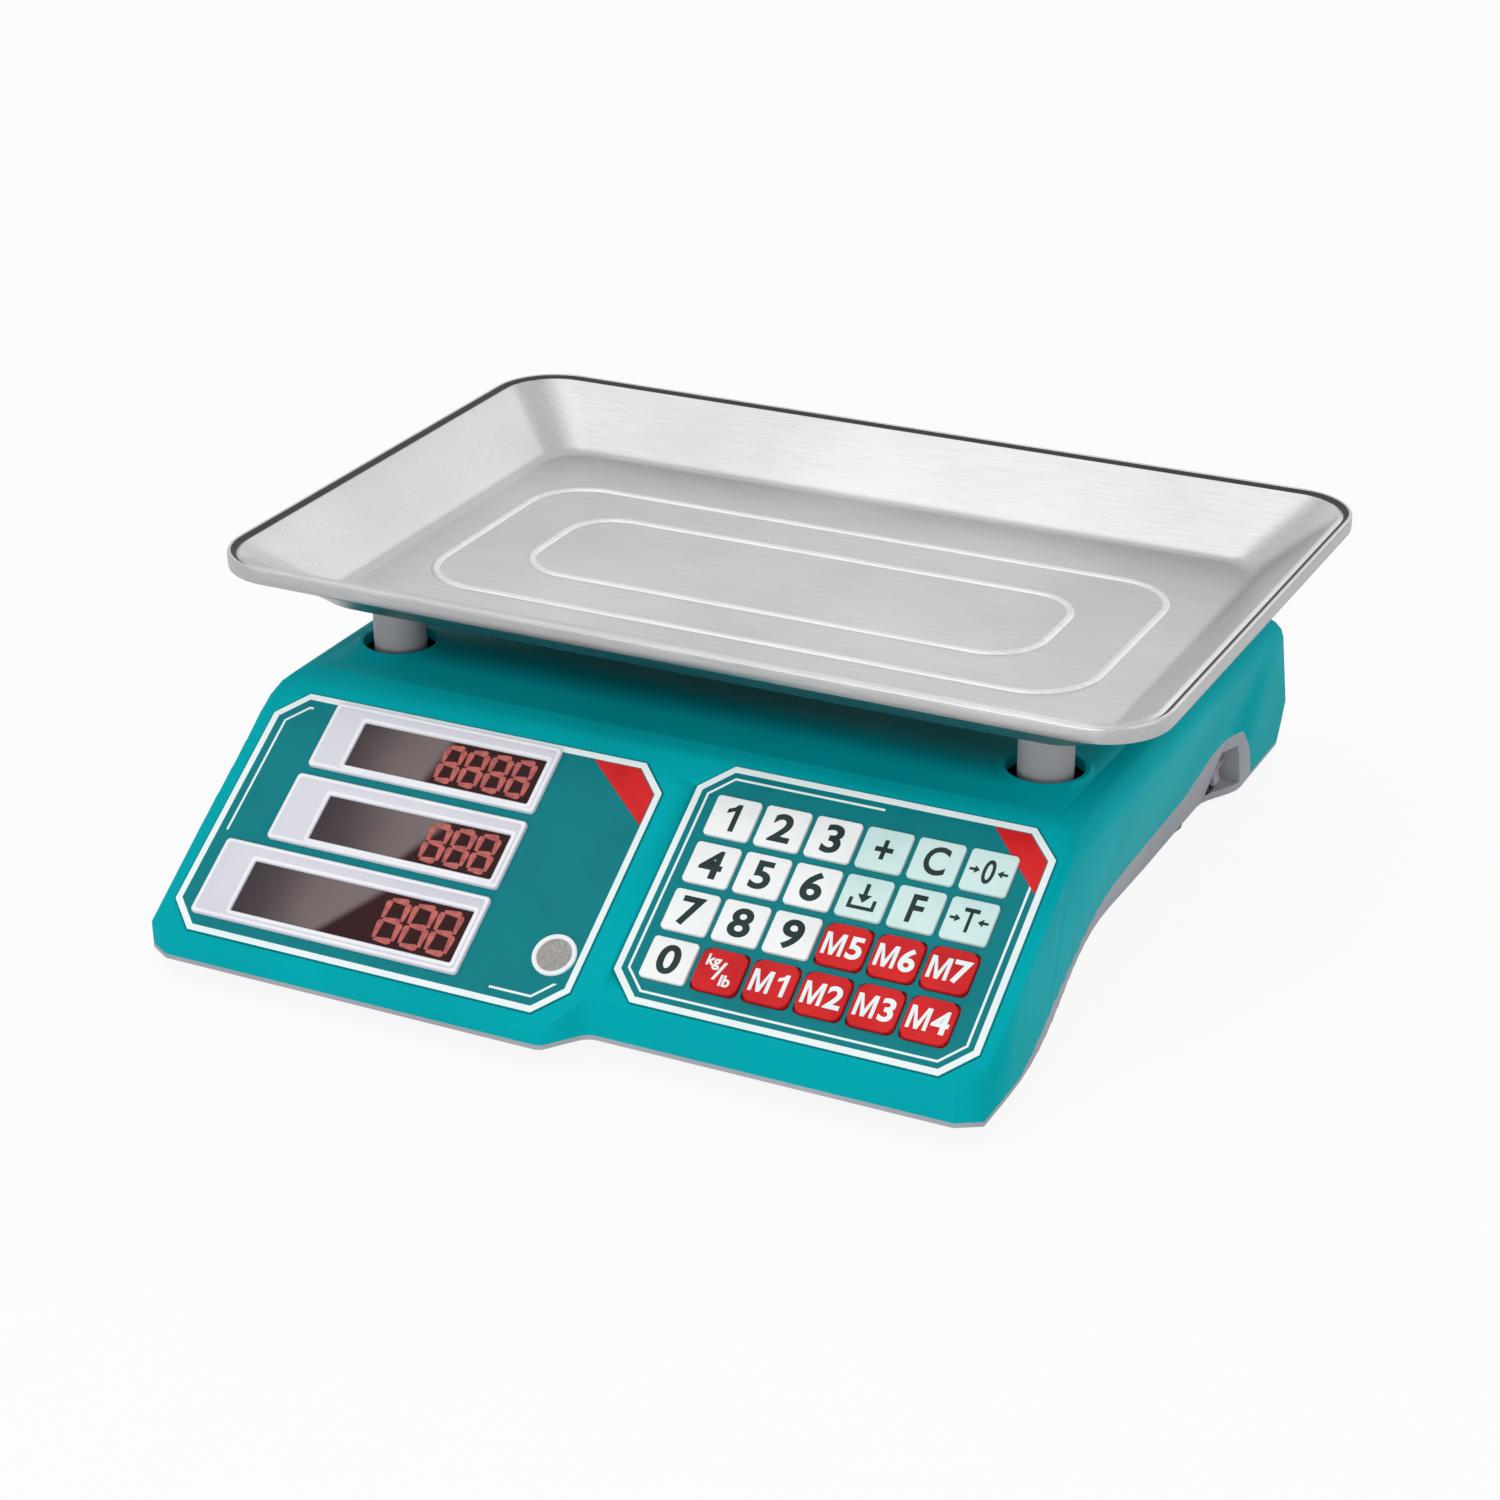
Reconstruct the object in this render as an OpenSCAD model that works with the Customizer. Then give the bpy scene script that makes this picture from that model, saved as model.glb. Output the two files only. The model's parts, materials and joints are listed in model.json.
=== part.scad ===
// Counter-top price computing scale with a lift-off steel tray, a sloping front
// with three displays on the left and a 24-key keypad on the right.
// Origin: centre of the footprint, on the surface that the feet stand on.
// +X runs to the right, +Y to the rear and +Z up. Millimetres.

/* [Tray] */
// Length of the tray over its rolled rim
tray_l = 340; // [322:1:360]
// Width of the tray over its rolled rim, front to back
tray_w = 225; // [212:1:238]
// Height of the rim's top above the surface that the scale stands on
tray_top = 114; // [112:0.5:120]
// Depth of the dish from the rim to the floor
tray_depth = 21; // [17:0.5:24]
// Corner radius of the rim
tray_corner = 24; // [16:1:34]
// Length of the flat floor
tray_floor_l = 283; // [274:1:294]
// Width of the flat floor
tray_floor_w = 171; // [162:1:176]
// Corner radius of the flat floor
tray_floor_corner = 15; // [8:1:24]
// Thickness of the steel sheet
tray_sheet = 0.9; // [0.7:0.1:1.2]
// Height of the rim's turned-down edge
rim_skirt = 6; // [4:0.5:8]
// Height of the pressed ridges on the floor
ridge_h = 0.8; // [0.4:0.1:1.2]
// Width of the pressed ridges on the floor
ridge_w = 3.4; // [2.4:0.2:5]

/* [Body] */
// Width of the body at its shoulders
body_w = 295; // [292:1:300]
// Depth of the body, front to back
body_d = 334; // [330:1:340]
// Height of the flat deck under the tray
deck_z = 74.5; // [73:0.5:77]
// Width of the deck between its rounded shoulders
deck_w = 264; // [260:1:270]
// Depth of the body's widest line below the deck
shoulder_h = 6; // [4:0.5:7]
// Height of the rounded shoulders
shoulder_soft = 12; // [8:0.5:14]
// Wall of the mouldings
wall = 2.6; // [2.2:0.1:3]
// Width of the body's foot at the front, behind the chin
chin_w = 291; // [288:1:292]
// Width of the body's foot at its waist
waist_w = 257; // [254:1:264]
// Width of the body's foot at the rear
heel_w = 273; // [268:1:280]
// How far the right-hand section's front stands back from the left-hand one's
front_step = 13.5; // [10:0.5:15]
// Place of the step across the front
front_step_x = 3; // [0:0.5:5]
// Tilt of the front panel
panel_tilt = 33.1; // [32:0.1:34]
// Height of the panel's lower reference line above the surface
panel_z = 16; // [15.5:0.5:17]
// Distance of that line behind the front of the body
panel_set = 4.8; // [4:0.1:5.5]
// Distance of the deck's rear edge in front of the back of the body
rear_run = 54; // [50:1:57]
// Clearance between the base and the surface
base_gap = 3; // [2.5:0.5:4]
// Height of the joint between the housing and the base at the front
parting_z = 8.4; // [8:0.1:9]
// Height of the base's rim at the front above the surface
rim_gap = 6.8; // [6:0.1:7]
// Width of the rim that overhangs the base's floor at the front
rim_reach = 8; // [6:0.5:9]

/* [Front panels] */
// Length of the display panel along the slope
display_len = 96.5; // [94:0.5:98]
// Left edge of the display panel from the centre plane
display_left = 142; // [140:0.5:143]
// Right edge of the display panel from the centre plane
display_right = 7.6; // [6:0.2:9]
// Left edge of the keypad panel from the centre plane
keypad_left = 17.3; // [16:0.1:18]
// Right edge of the keypad panel from the centre plane
keypad_right = 142; // [141:0.5:143]
// Lower edge of the keypad panel along the slope
keypad_low = 11.4; // [11:0.2:12]
// Upper edge of the keypad panel along the slope
keypad_high = 102; // [101:0.5:103]
// Length of the cut-off corners of both panels
panel_cut = 10; // [7:0.5:11]
// Thickness of the panels
panel_t = 1; // [0.8:0.1:1.4]
// Depth of the recess that holds a panel
panel_recess = 0.7; // [0.5:0.1:0.9]
// Height of the display bezels above their panel
bezel_t = 1.3; // [1:0.1:2]
// Right edge of the display windows, left of the centre plane
window_right = 36; // [35:0.5:37]
// Height of the upper and middle windows
window_h = 17.2; // [16:0.2:18]
// Height of the lower window
window_h_low = 19.4; // [18.5:0.2:20]
// Thickness of the windows
window_t = 2.2; // [1.8:0.1:2.6]
// Radius of the level's ring
level_r = 7.5; // [6.5:0.5:8]

/* [Keys] */
// Spacing of the keys across the keypad
key_pitch_x = 17.65; // [17.2:0.05:17.7]
// Spacing of the keys along the slope
key_pitch_y = 17.9; // [17.3:0.1:18]
// Width of a key
key_w = 15.7; // [14.6:0.1:15.8]
// Length of a key along the slope
key_l = 15; // [14:0.1:15.6]
// Corner radius of a key
key_r = 2; // [1:0.1:3]
// Height of a key above its panel
key_proud = 1.1; // [0.9:0.1:1.6]
// Travel of a key
key_travel = 0.8; // [0.5:0.1:0.8]
// Gap between a key and its opening
key_gap = 0.35; // [0.3:0.05:0.4]

/* [Weighing platform] */
// Spacing of the tray's posts across the scale
post_span_x = 240.8; // [236:0.2:244]
// Distance of the front posts behind the deck's front edge
post_front_set = 30.6; // [29:0.1:33]
// Distance of the rear posts in front of the deck's rear edge
post_rear_set = 21.1; // [20:0.1:24]
// Diameter of the posts
post_d = 18.4; // [16:0.2:20]
// Diameter of the deck's holes round the posts
post_hole_d = 26; // [25:0.5:30]
// Height of the spider's underside above the surface
spider_z = 58; // [56.5:0.5:59]
// Thickness of the spider
spider_t = 5; // [4:0.5:6]
// Length of the load cell
cell_l = 130; // [126:1:140]
// Width of the load cell
cell_w = 30; // [26:1:34]
// Height of the load cell
cell_h = 22; // [20:0.5:24]
// Height of the load cell's underside above the surface
cell_z = 22; // [20:0.5:24]
// Downward travel of the platform before it meets its stops
overload_travel = 0.6; // [0.4:0.1:1]

/* [Feet] */
// Diameter of the levelling feet
foot_d = 20; // [17:0.5:20]
// Height of the rubber part of a foot
foot_h = 6; // [5.5:0.5:6.5]
// Diameter of a foot's stud
stud_d = 6; // [5:0.5:6]
// Distance of the front feet from the centre plane
front_foot_x = 122; // [118:0.5:124]
// Distance of the rear feet from the centre plane
rear_foot_x = 116; // [113:0.5:116.5]
// Distance of the front feet behind the front of the body
front_foot_set = 40; // [36:1:46]
// Distance of the rear feet in front of the back of the body
rear_foot_set = 87; // [86:1:90]

/* [Inside] */
// Length of the battery
battery_l = 101; // [95:1:103]
// Clearance in front of the battery and behind it
battery_room = 11; // [10:0.5:14]
// Height of the battery as it lies
battery_h = 47; // [42:0.5:48]
// Thickness of the circuit boards
board_t = 1.6; // [1.2:0.2:2]
// Length of the transformer's core
core_l = 56; // [48:1:58]
// Height of the transformer's core
core_h = 40; // [34:1:42]

/* [Hidden] */
$fn = 40;
eps = 0.01;
fit = 0.1;
slack = 0.3;
far = 400;

front_y = -body_d / 2;
rear_y = body_d / 2;
panel_y = front_y + panel_set;
deck_front_y = panel_y + (deck_z - panel_z) / tan(panel_tilt);
deck_rear_y = rear_y - rear_run;
post_front_y = deck_front_y + post_front_set;
post_rear_y = deck_rear_y - post_rear_set;
post_span_y = post_rear_y - post_front_y;
tray_y = (post_front_y + post_rear_y) / 2;
shoulder_z = deck_z - shoulder_h;
base_top = base_gap + wall;
rim_z = tray_top;
floor_z = rim_z - tray_depth;
floor_under = floor_z - tray_sheet;
bead = 2.6;

// The foot of the body narrows to a waist and widens again at the heel.
waist_from = front_y + 37;
waist_to = front_y + 172;
heel_from = rear_y - 72;
heel_to = rear_y - 50;
heel_r = 34;
chin_cut = [10, 6];
arch_z = 30;
arch_front = rear_y - 84;
arch_rear = rear_y - 59;
heel_front = rear_y - 39;
heel_z = base_gap + 1.5;

// Displays: [name, left edge, low edge, high edge, window's left edge, window's low edge, window's height]
DISPLAYS = [
    ["weight", 119.2, 68.6, 94.4, 106, 71.6, window_h],
    ["price", 120.4, 39, 65.2, 105.2, 42, window_h],
    ["amount", 133.6, 6.6, 35.8, 119.4, 10.2, window_h_low]];
bezel_right = 32.4;
bezel_r = 1.6;
module_depth = 9.6;
board_depth = window_t - 1 + module_depth;
level_at = [-3.3, 21.5];
level_depth = 8;

// Keys: [name, column, row from the bottom, kind]
KEYS = [
    ["key_1", 0, 3, "digit"], ["key_2", 1, 3, "digit"], ["key_3", 2, 3, "digit"],
    ["key_add", 3, 3, "command"], ["key_clear", 4, 3, "command"], ["key_zero", 5, 3, "command"],
    ["key_4", 0, 2, "digit"], ["key_5", 1, 2, "digit"], ["key_6", 2, 2, "digit"],
    ["key_save", 3, 2, "command"], ["key_function", 4, 2, "command"], ["key_tare", 5, 2, "command"],
    ["key_7", 0, 1, "digit"], ["key_8", 1, 1, "digit"], ["key_9", 2, 1, "digit"],
    ["key_m5", 3, 1, "memory"], ["key_m6", 4, 1, "memory"], ["key_m7", 5, 1, "memory"],
    ["key_0", 0, 0, "digit"], ["key_unit", 1, 0, "memory"], ["key_m1", 2, 0, "memory"],
    ["key_m2", 3, 0, "memory"], ["key_m3", 4, 0, "memory"], ["key_m4", 5, 0, "memory"]];
key_cols = 6;
key_rows = 4;
keypad_mid = [(keypad_left + keypad_right) / 2 - 1, (keypad_low + keypad_high) / 2 - 1.2];
key_brim = 0.6;
brim_t = 1.4;
brim_top = panel_t - slack - panel_recess - panel_t;
plunger_d = 6;
plunger_low = brim_top - brim_t - 1.5;
dome_d = 8;
dome_h = 1.3;
board_top = plunger_low - key_travel - 0.1 - dome_h;
keypad_frame = [key_cols * key_pitch_x + 1, key_rows * key_pitch_y + 1];
keypad_lip = 1.6;

// Rear slope, seen from behind
rear_tilt = atan2(deck_z - parting_z, rear_run);
rear_mid_y = rear_y - rear_run * 0.46;
rear_mid_z = parting_z + (deck_z - parting_z) * 0.46;
rear_panel_l = 190;
rear_panel_h = 46;
rear_window_l = 160;
rear_window_h = 24;
rear_board_h = 38;

// Side pockets in the base: the power switch on the right, the mains inlet on the left
pocket_x = 128;
pocket_low = base_top + 0.6;
SWITCH_POCKET = [[rear_y - 68.5, pocket_low], [heel_front - 13, pocket_low], [arch_rear, arch_z - 6],
    [rear_y - 68.5, arch_z - 6]];
INLET_POCKET = [[rear_y - 75, pocket_low], [heel_front - 12, pocket_low], [heel_front - 16, arch_z - 11.2],
    [rear_y - 75, arch_z - 11.2]];
flange = 1;
switch_l = 13;
switch_w = 8;
switch_mid = SWITCH_POCKET[0] + [switch_w / 2 + flange + 0.4, switch_l / 2 + flange + 0.3];
rocker_l = 10.6;
rocker_w = 5.6;
rocker_tilt = 7;
rocker_pivot_x = pocket_x - 1;
inlet_l = 16.5;
inlet_h = 9.5;
inlet_mid = INLET_POCKET[0] + [inlet_l / 2 + flange + 0.9, inlet_h / 2 + flange + 0.5];
inlet_pin_gap = 8.6;
inlet_depth = 14;

post_at = [for (sx = [-1, 1], sy = [-1, 1]) [sx * post_span_x / 2, tray_y + sy * post_span_y / 2]];
foot_at = [[-front_foot_x, front_y + front_foot_set], [front_foot_x, front_y + front_foot_set],
    [-rear_foot_x, rear_y - rear_foot_set], [rear_foot_x, rear_y - rear_foot_set]];
foot_top = foot_h;
foot_boss_d = foot_d + 5;
foot_boss_top = foot_h + 4;
stud_top = 21;
screw_at = [[-137, front_y + 32], [137, front_y + 32], [-121, tray_y - 22], [121, tray_y - 22],
    [-110, rear_y - 27], [110, rear_y - 27]];
screw_d = 3;
screw_head_d = 6;
screw_seat_z = rim_gap + 8;
screw_boss_d = 8;
stop_rear_x = 108;
stop_at = [for (s = [-1, 1]) each [[s * post_span_x / 2, tray_y - post_span_y / 2],
    [s * stop_rear_x, tray_y + stop_rear_x * post_span_y / post_span_x]]];

cell_end = cell_l / 2;
cell_plinth_l = 34;
cell_bolt_x = [cell_end - 8, cell_end - 23];
bolt_d = 6;
bolt_head_d = 10;
bolt_head_h = 5;
plate_l = 150;
plate_w = 54;
arm_w = 20;
pad_d = 30;
stop_d = 10;

cell_front_y = tray_y - cell_w / 2;
display_board_high = DISPLAYS[0][5] + DISPLAYS[0][6] + 1;
display_board_rear_y = panel_y + display_board_high * cos(panel_tilt)
    + (board_depth + board_t) * sin(panel_tilt);
battery_at = [-113, display_board_rear_y + battery_room];
battery_w = cell_front_y - battery_room - battery_at[1];
core_w = 34;
transformer_at = [-60, tray_y + 35];
main_board_l = 88;
main_board_w = 60;
main_board_at = [8, cell_front_y - 14 - main_board_w];
main_board_z = 14;
door_l = 80;
door_w = battery_w * 0.65;
door_at = [battery_at[0] + battery_l / 2, battery_at[1] + battery_w / 2];

TEAL = [0.0, 0.6, 0.63];
DARK_TEAL = [0.08, 0.45, 0.48];
GREY = [0.6, 0.6, 0.62];
STEEL = [0.82, 0.82, 0.82];
GREEN = [0.1, 0.4, 0.2];

// ---------- outline helpers ----------

function smooth(t) = let(c = min(1, max(0, t))) c * c * (3 - 2 * c);

// Corner p of an outline, rounded to radius r with n steps between its neighbours a and b
function corner(a, p, b, r, n) =
    r <= 0 ? [p] :
    let(u = (a - p) / norm(a - p), v = (b - p) / norm(b - p),
        half = acos(max(-1, min(1, u * v))) / 2,
        c = p + (u + v) / norm(u + v) * r / sin(half),
        s = p + u * r / tan(half) - c, e = p + v * r / tan(half) - c,
        turn = (atan2(e[1], e[0]) - atan2(s[1], s[0]) + 540) % 360 - 180,
        start = atan2(s[1], s[0]))
    [for (i = [0:n]) c + r * [cos(start + turn * i / n), sin(start + turn * i / n)]];

function rounded(pts, radii, n = 6) =
    let(m = len(pts))
    [for (i = [0:m - 1]) each corner(pts[(i + m - 1) % m], pts[i], pts[(i + 1) % m], radii[i], n)];

module rounded_box(l, w, r, h) {
    linear_extrude(h)
        polygon(rounded([[-l / 2, -w / 2], [l / 2, -w / 2], [l / 2, w / 2], [-l / 2, w / 2]], [r, r, r, r]));
}

// An outline drawn in the Y-Z plane, run along X from x0 to x1
module along_x(x0, x1) {
    translate([x0, 0, 0]) rotate([90, 0, 90]) linear_extrude(x1 - x0) children();
}

// Places its children on the front panel: X across, Y up the slope, Z out of it
module on_panel() {
    translate([0, panel_y, panel_z]) rotate([panel_tilt, 0, 0]) children();
}

// Places its children on the rear slope: X to the viewer's right from behind, Y up the slope, Z out of it
module on_rear() {
    translate([0, rear_mid_y, rear_mid_z]) rotate([0, 0, 180]) rotate([rear_tilt, 0, 0]) children();
}

// ---------- body form ----------

function foot_half(y) = chin_w / 2
    + (waist_w - chin_w) / 2 * smooth((y - waist_from) / (waist_to - waist_from))
    + (heel_w - waist_w) / 2 * smooth((y - heel_from) / (heel_to - heel_from));

function wall_x(y, z, inset) = foot_half(y) - inset
    + (body_w / 2 - foot_half(y)) * (z - parting_z) / (shoulder_z - parting_z);

// Rounded shoulder at y, from the wall at t = 0 to the deck at t = 1
function shoulder(y, inset, t) =
    let(low = deck_z - shoulder_soft, top = deck_z - inset)
    (1 - t) * (1 - t) * [wall_x(y, low, inset), low] + 2 * t * (1 - t) * [wall_x(y, top, inset), top]
        + t * t * [deck_w / 2, top];

// Section across the body at y, seen from the front
shoulder_steps = 5;
function side_section(y, inset) =
    let(right = [for (i = [0:shoulder_steps]) shoulder(y, inset, i / shoulder_steps)])
    concat([[-wall_x(y, 0, inset), 0], [wall_x(y, 0, inset), 0]], right,
        [for (i = [shoulder_steps:-1:0]) [-right[i][0], right[i][1]]]);

STATIONS = concat([front_y - 5, waist_from],
    [for (i = [1:14]) waist_from + (waist_to - waist_from) * i / 14],
    [for (i = [0:7]) heel_from + (heel_to - heel_from) * i / 7], [rear_y + 5]);

module side_form(inset) {
    n = len(STATIONS);
    m = 4 + 2 * shoulder_steps;
    points = [for (y = STATIONS) for (p = side_section(y, inset)) [p[0], y, p[1]]];
    sides = [for (i = [0:n - 2]) for (j = [0:m - 1])
        let(k = (j + 1) % m)
        each [[i * m + j, (i + 1) * m + k, (i + 1) * m + j], [i * m + j, i * m + k, (i + 1) * m + k]]];
    polyhedron(points, concat([[for (j = [m - 1:-1:0]) j]], sides, [[for (j = [0:m - 1]) (n - 1) * m + j]]),
        convexity = 4);
}

// Outline of the body from the side, open below
module side_profile(inset) {
    lip = panel_z - panel_set * tan(panel_tilt);
    pts = rounded([[front_y, -30], [front_y, lip], [deck_front_y, deck_z], [deck_rear_y, deck_z],
        [rear_y, parting_z], [rear_y, -30]], [0, 7, 10, 9, 3, 0]);
    offset(delta = -inset) polygon(pts);
}

// Outline of the body from above, with its cut corners and the step in its front
module plan_outline(inset) {
    h = body_w / 2;
    right_y = front_y + front_step;
    pts = rounded([[-h, front_y + chin_cut[1]], [-h + chin_cut[0], front_y], [front_step_x, front_y],
        [front_step_x + 10, right_y], [h - chin_cut[0], right_y], [h, right_y + chin_cut[1]],
        [h, rear_y], [-h, rear_y]], [3, 3, 4, 7, 3, 3, heel_r, heel_r]);
    offset(delta = -inset) polygon(pts);
}

module body_form(inset) {
    intersection() {
        side_form(inset);
        along_x(-body_w, body_w) side_profile(inset);
        translate([0, 0, -30]) linear_extrude(deck_z + 60) plan_outline(inset);
    }
}

// Everything below the joint between the housing and the base
module below_parting() {
    along_x(-body_w, body_w)
        polygon(rounded([[-far, -far], [-far, parting_z], [front_y + 47, parting_z],
            [front_y + 85, parting_z + 7], [arch_front - 20, 22], [arch_front, arch_z], [arch_rear, arch_z],
            [heel_front, heel_z], [far, heel_z], [far, -far]], [0, 0, 30, 60, 12, 6, 3, 1, 0, 0]));
}

module shell() {
    difference() {
        body_form(0);
        body_form(wall);
    }
}

// ---------- front panels ----------

function panel_outline(x0, x1, y0, y1, cut) =
    [[x0 + cut, y0], [x1 - cut, y0], [x1, y0 + cut], [x1, y1 - cut], [x1 - cut, y1], [x0 + cut, y1],
        [x0, y1 - cut], [x0, y0 + cut]];

module display_outline(gap) {
    polygon(panel_outline(-display_left + gap, display_right - gap, gap, display_len - gap, panel_cut));
}

module keypad_outline(gap) {
    polygon(panel_outline(keypad_left + gap, keypad_right - gap, keypad_low + gap, keypad_high - gap,
        panel_cut));
}

module window_openings(grow, h0, h1) {
    for (d = DISPLAYS)
        translate([-d[4] - grow, d[5] - grow, h0])
            cube([d[4] - window_right + 2 * grow, d[6] + 2 * grow, h1 - h0]);
}

function key_at(k) = [keypad_mid[0] + (k[1] - (key_cols - 1) / 2) * key_pitch_x,
    keypad_mid[1] + (k[2] - (key_rows - 1) / 2) * key_pitch_y, 0];

module display_panel() {
    color(DARK_TEAL) on_panel() difference() {
        translate([0, 0, -panel_recess]) linear_extrude(panel_t) display_outline(fit);
        window_openings(0, -panel_t - 1, panel_t + 1);
        translate([level_at[0], level_at[1], -panel_t - 1]) cylinder(h = 2 * panel_t + 2, r = level_r - 1);
    }
}

module keypad_panel() {
    color(DARK_TEAL) on_panel() difference() {
        translate([0, 0, -panel_recess]) linear_extrude(panel_t) keypad_outline(fit);
        for (k = KEYS)
            translate(key_at(k) - [0, 0, panel_t + 1])
                rounded_box(key_w + 2 * key_gap, key_l + 2 * key_gap, key_r + key_gap, 2 * panel_t + 2);
    }
}

module key_cap(k) {
    shade = k[3] == "digit" ? [0.93, 0.97, 0.97] : k[3] == "command" ? [0.8, 0.92, 0.91] : [0.85, 0.12, 0.12];
    top = panel_t - panel_recess + key_proud;
    color(shade) on_panel() translate(key_at(k)) union() {
        translate([0, 0, brim_top - brim_t])
            rounded_box(key_w, key_l, key_r, top - brim_top + brim_t);
        translate([0, 0, brim_top - brim_t])
            rounded_box(key_w + 2 * key_brim, key_l + 2 * key_brim, key_r, brim_t);
        translate([0, 0, plunger_low]) cylinder(h = brim_top - brim_t - plunger_low + eps, d = plunger_d);
    }
}

module key_domes() {
    color([0.9, 0.9, 0.85]) on_panel() for (k = KEYS)
        translate(key_at(k) + [0, 0, board_top])
            cylinder(h = dome_h, d1 = dome_d, d2 = dome_d * 0.6);
}

module keypad_board() {
    color(GREEN) on_panel() translate([keypad_mid[0], keypad_mid[1], board_top - board_t])
        rounded_box(keypad_frame[0] + 2 * keypad_lip, keypad_frame[1] + 2 * keypad_lip, 2, board_t);
}

module bezel(d) {
    color([0.85, 0.85, 0.92]) on_panel() difference() {
        translate([-(d[1] + bezel_right) / 2, (d[2] + d[3]) / 2, panel_t - panel_recess])
            rounded_box(d[1] - bezel_right, d[3] - d[2], bezel_r, bezel_t);
        window_openings(0, 0, bezel_t + 2);
    }
}

module window(d) {
    color([0.2, 0.08, 0.09]) on_panel()
        translate([-d[4] + fit, d[5] + fit, 1 - window_t])
            cube([d[4] - window_right - 2 * fit, d[6] - 2 * fit, window_t]);
}

module digit_modules() {
    color([0.15, 0.03, 0.03]) {
        on_panel() for (d = DISPLAYS)
            translate([-d[4] + 1, d[5] + 1, -board_depth])
                cube([d[4] - window_right - 2, d[6] - 2, module_depth]);
        on_rear() translate([-rear_window_l / 2 + 1, -rear_window_h / 2 + 1, -board_depth])
            cube([rear_window_l - 2, rear_window_h - 2, module_depth]);
    }
}

module display_board() {
    lead = 3.5;
    low = DISPLAYS[2];
    color(GREEN) on_panel() translate([-low[4] - lead, low[5] - 1, -board_depth - board_t])
        cube([low[4] - window_right + 2 * lead, display_board_high + 1 - low[5], board_t]);
}

module level_vial() {
    color([0.8, 0.8, 0.78]) on_panel() translate([level_at[0], level_at[1], 0]) union() {
        translate([0, 0, panel_t - panel_recess]) cylinder(h = 0.9, r = level_r);
        translate([0, 0, -level_depth]) cylinder(h = level_depth + panel_t, r = level_r - 1 - fit);
    }
}

// ---------- rear display ----------

module rear_panel() {
    color(DARK_TEAL) on_rear() difference() {
        translate([0, 0, -panel_recess])
            linear_extrude(panel_t) polygon(panel_outline(-rear_panel_l / 2 + fit, rear_panel_l / 2 - fit,
                -rear_panel_h / 2 + fit, rear_panel_h / 2 - fit, panel_cut));
        translate([-rear_window_l / 2, -rear_window_h / 2, -2]) cube([rear_window_l, rear_window_h, 4]);
    }
}

module rear_window() {
    color([0.2, 0.08, 0.09]) on_rear()
        translate([-rear_window_l / 2 + fit, -rear_window_h / 2 + fit, 1 - window_t])
            cube([rear_window_l - 2 * fit, rear_window_h - 2 * fit, window_t]);
}

module rear_board() {
    color(GREEN) on_rear() translate([-rear_window_l / 2 - 3, -rear_board_h / 2, -board_depth - board_t])
        cube([rear_window_l + 6, rear_board_h, board_t]);
}

// ---------- housing ----------

module post_holes() {
    for (p = post_at)
        translate([p[0], p[1], deck_z - wall - 4]) cylinder(h = wall + 12, d = post_hole_d);
}

module post_lips() {
    for (p = post_at)
        translate([p[0], p[1], deck_z])
            rotate_extrude() polygon([[post_hole_d / 2, -1], [post_hole_d / 2 + 2.6, -1],
                [post_hole_d / 2 + 2.6, 0], [post_hole_d / 2 + 1.4, 1.2], [post_hole_d / 2, 1.2]]);
}

// Pillars under the panel and the rear slope that the display boards are screwed to
module board_pillars() {
    low = DISPLAYS[2];
    high = DISPLAYS[0];
    on_panel() for (x = [-low[4] - 1, -window_right + 1.5], y = [low[5] + 1, high[5] + high[6] - 1])
        translate([x, y, -board_depth]) translate([-1.2, -1.2, 0]) cube([2.4, 2.4, board_depth - wall + 0.5]);
    on_rear() for (x = [-1, 1], y = [-1, 1])
        translate([x * (rear_window_l / 2 + 1) - 1.5, y * (rear_board_h / 2 - 3) - 1.5, -board_depth])
            cube([3, 3, board_depth - wall + 0.5]);
}

// Rim under the keypad that the keypad board closes
module keypad_rim() {
    on_panel() translate([keypad_mid[0], keypad_mid[1], board_top]) difference() {
        rounded_box(keypad_frame[0] + 2 * keypad_lip, keypad_frame[1] + 2 * keypad_lip, 2,
            -wall - board_top + 0.5);
        translate([0, 0, -1]) rounded_box(keypad_frame[0], keypad_frame[1], 2, -board_top + 4);
    }
}

module housing_bosses() {
    intersection() {
        for (p = screw_at)
            translate([p[0], p[1], screw_seat_z]) cylinder(h = deck_z, d = screw_boss_d);
        body_form(wall - 0.5);
    }
}

module upper_housing() {
    color(TEAL) difference() {
        union() {
            difference() {
                shell();
                below_parting();
            }
            post_lips();
            board_pillars();
            keypad_rim();
            housing_bosses();
        }
        post_holes();
        on_panel() {
            translate([0, 0, -panel_recess]) linear_extrude(5) display_outline(0);
            translate([0, 0, -panel_recess]) linear_extrude(5) keypad_outline(0);
            window_openings(0.6, -wall - 1, 1);
            translate([level_at[0], level_at[1], -wall - 1]) cylinder(h = wall + 2, r = level_r - 1);
            translate([keypad_mid[0], keypad_mid[1], -wall - 1])
                rounded_box(keypad_frame[0], keypad_frame[1], 2, wall + 2);
        }
        on_rear() {
            translate([0, 0, -panel_recess]) linear_extrude(5) polygon(panel_outline(-rear_panel_l / 2,
                rear_panel_l / 2, -rear_panel_h / 2, rear_panel_h / 2, panel_cut));
            translate([-rear_window_l / 2 - 0.6, -rear_window_h / 2 - 0.6, -wall - 1])
                cube([rear_window_l + 1.2, rear_window_h + 1.2, wall + 2]);
        }
        for (p = screw_at)
            translate([p[0], p[1], screw_seat_z - 1]) cylinder(h = 11, d = screw_d + 2 * fit);
    }
}

// ---------- base ----------

module pocket_cut(side, outline) {
    scale([side, 1, 1]) translate([pocket_x, 0, 0]) along_x(0, 60) polygon(outline);
}

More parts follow.
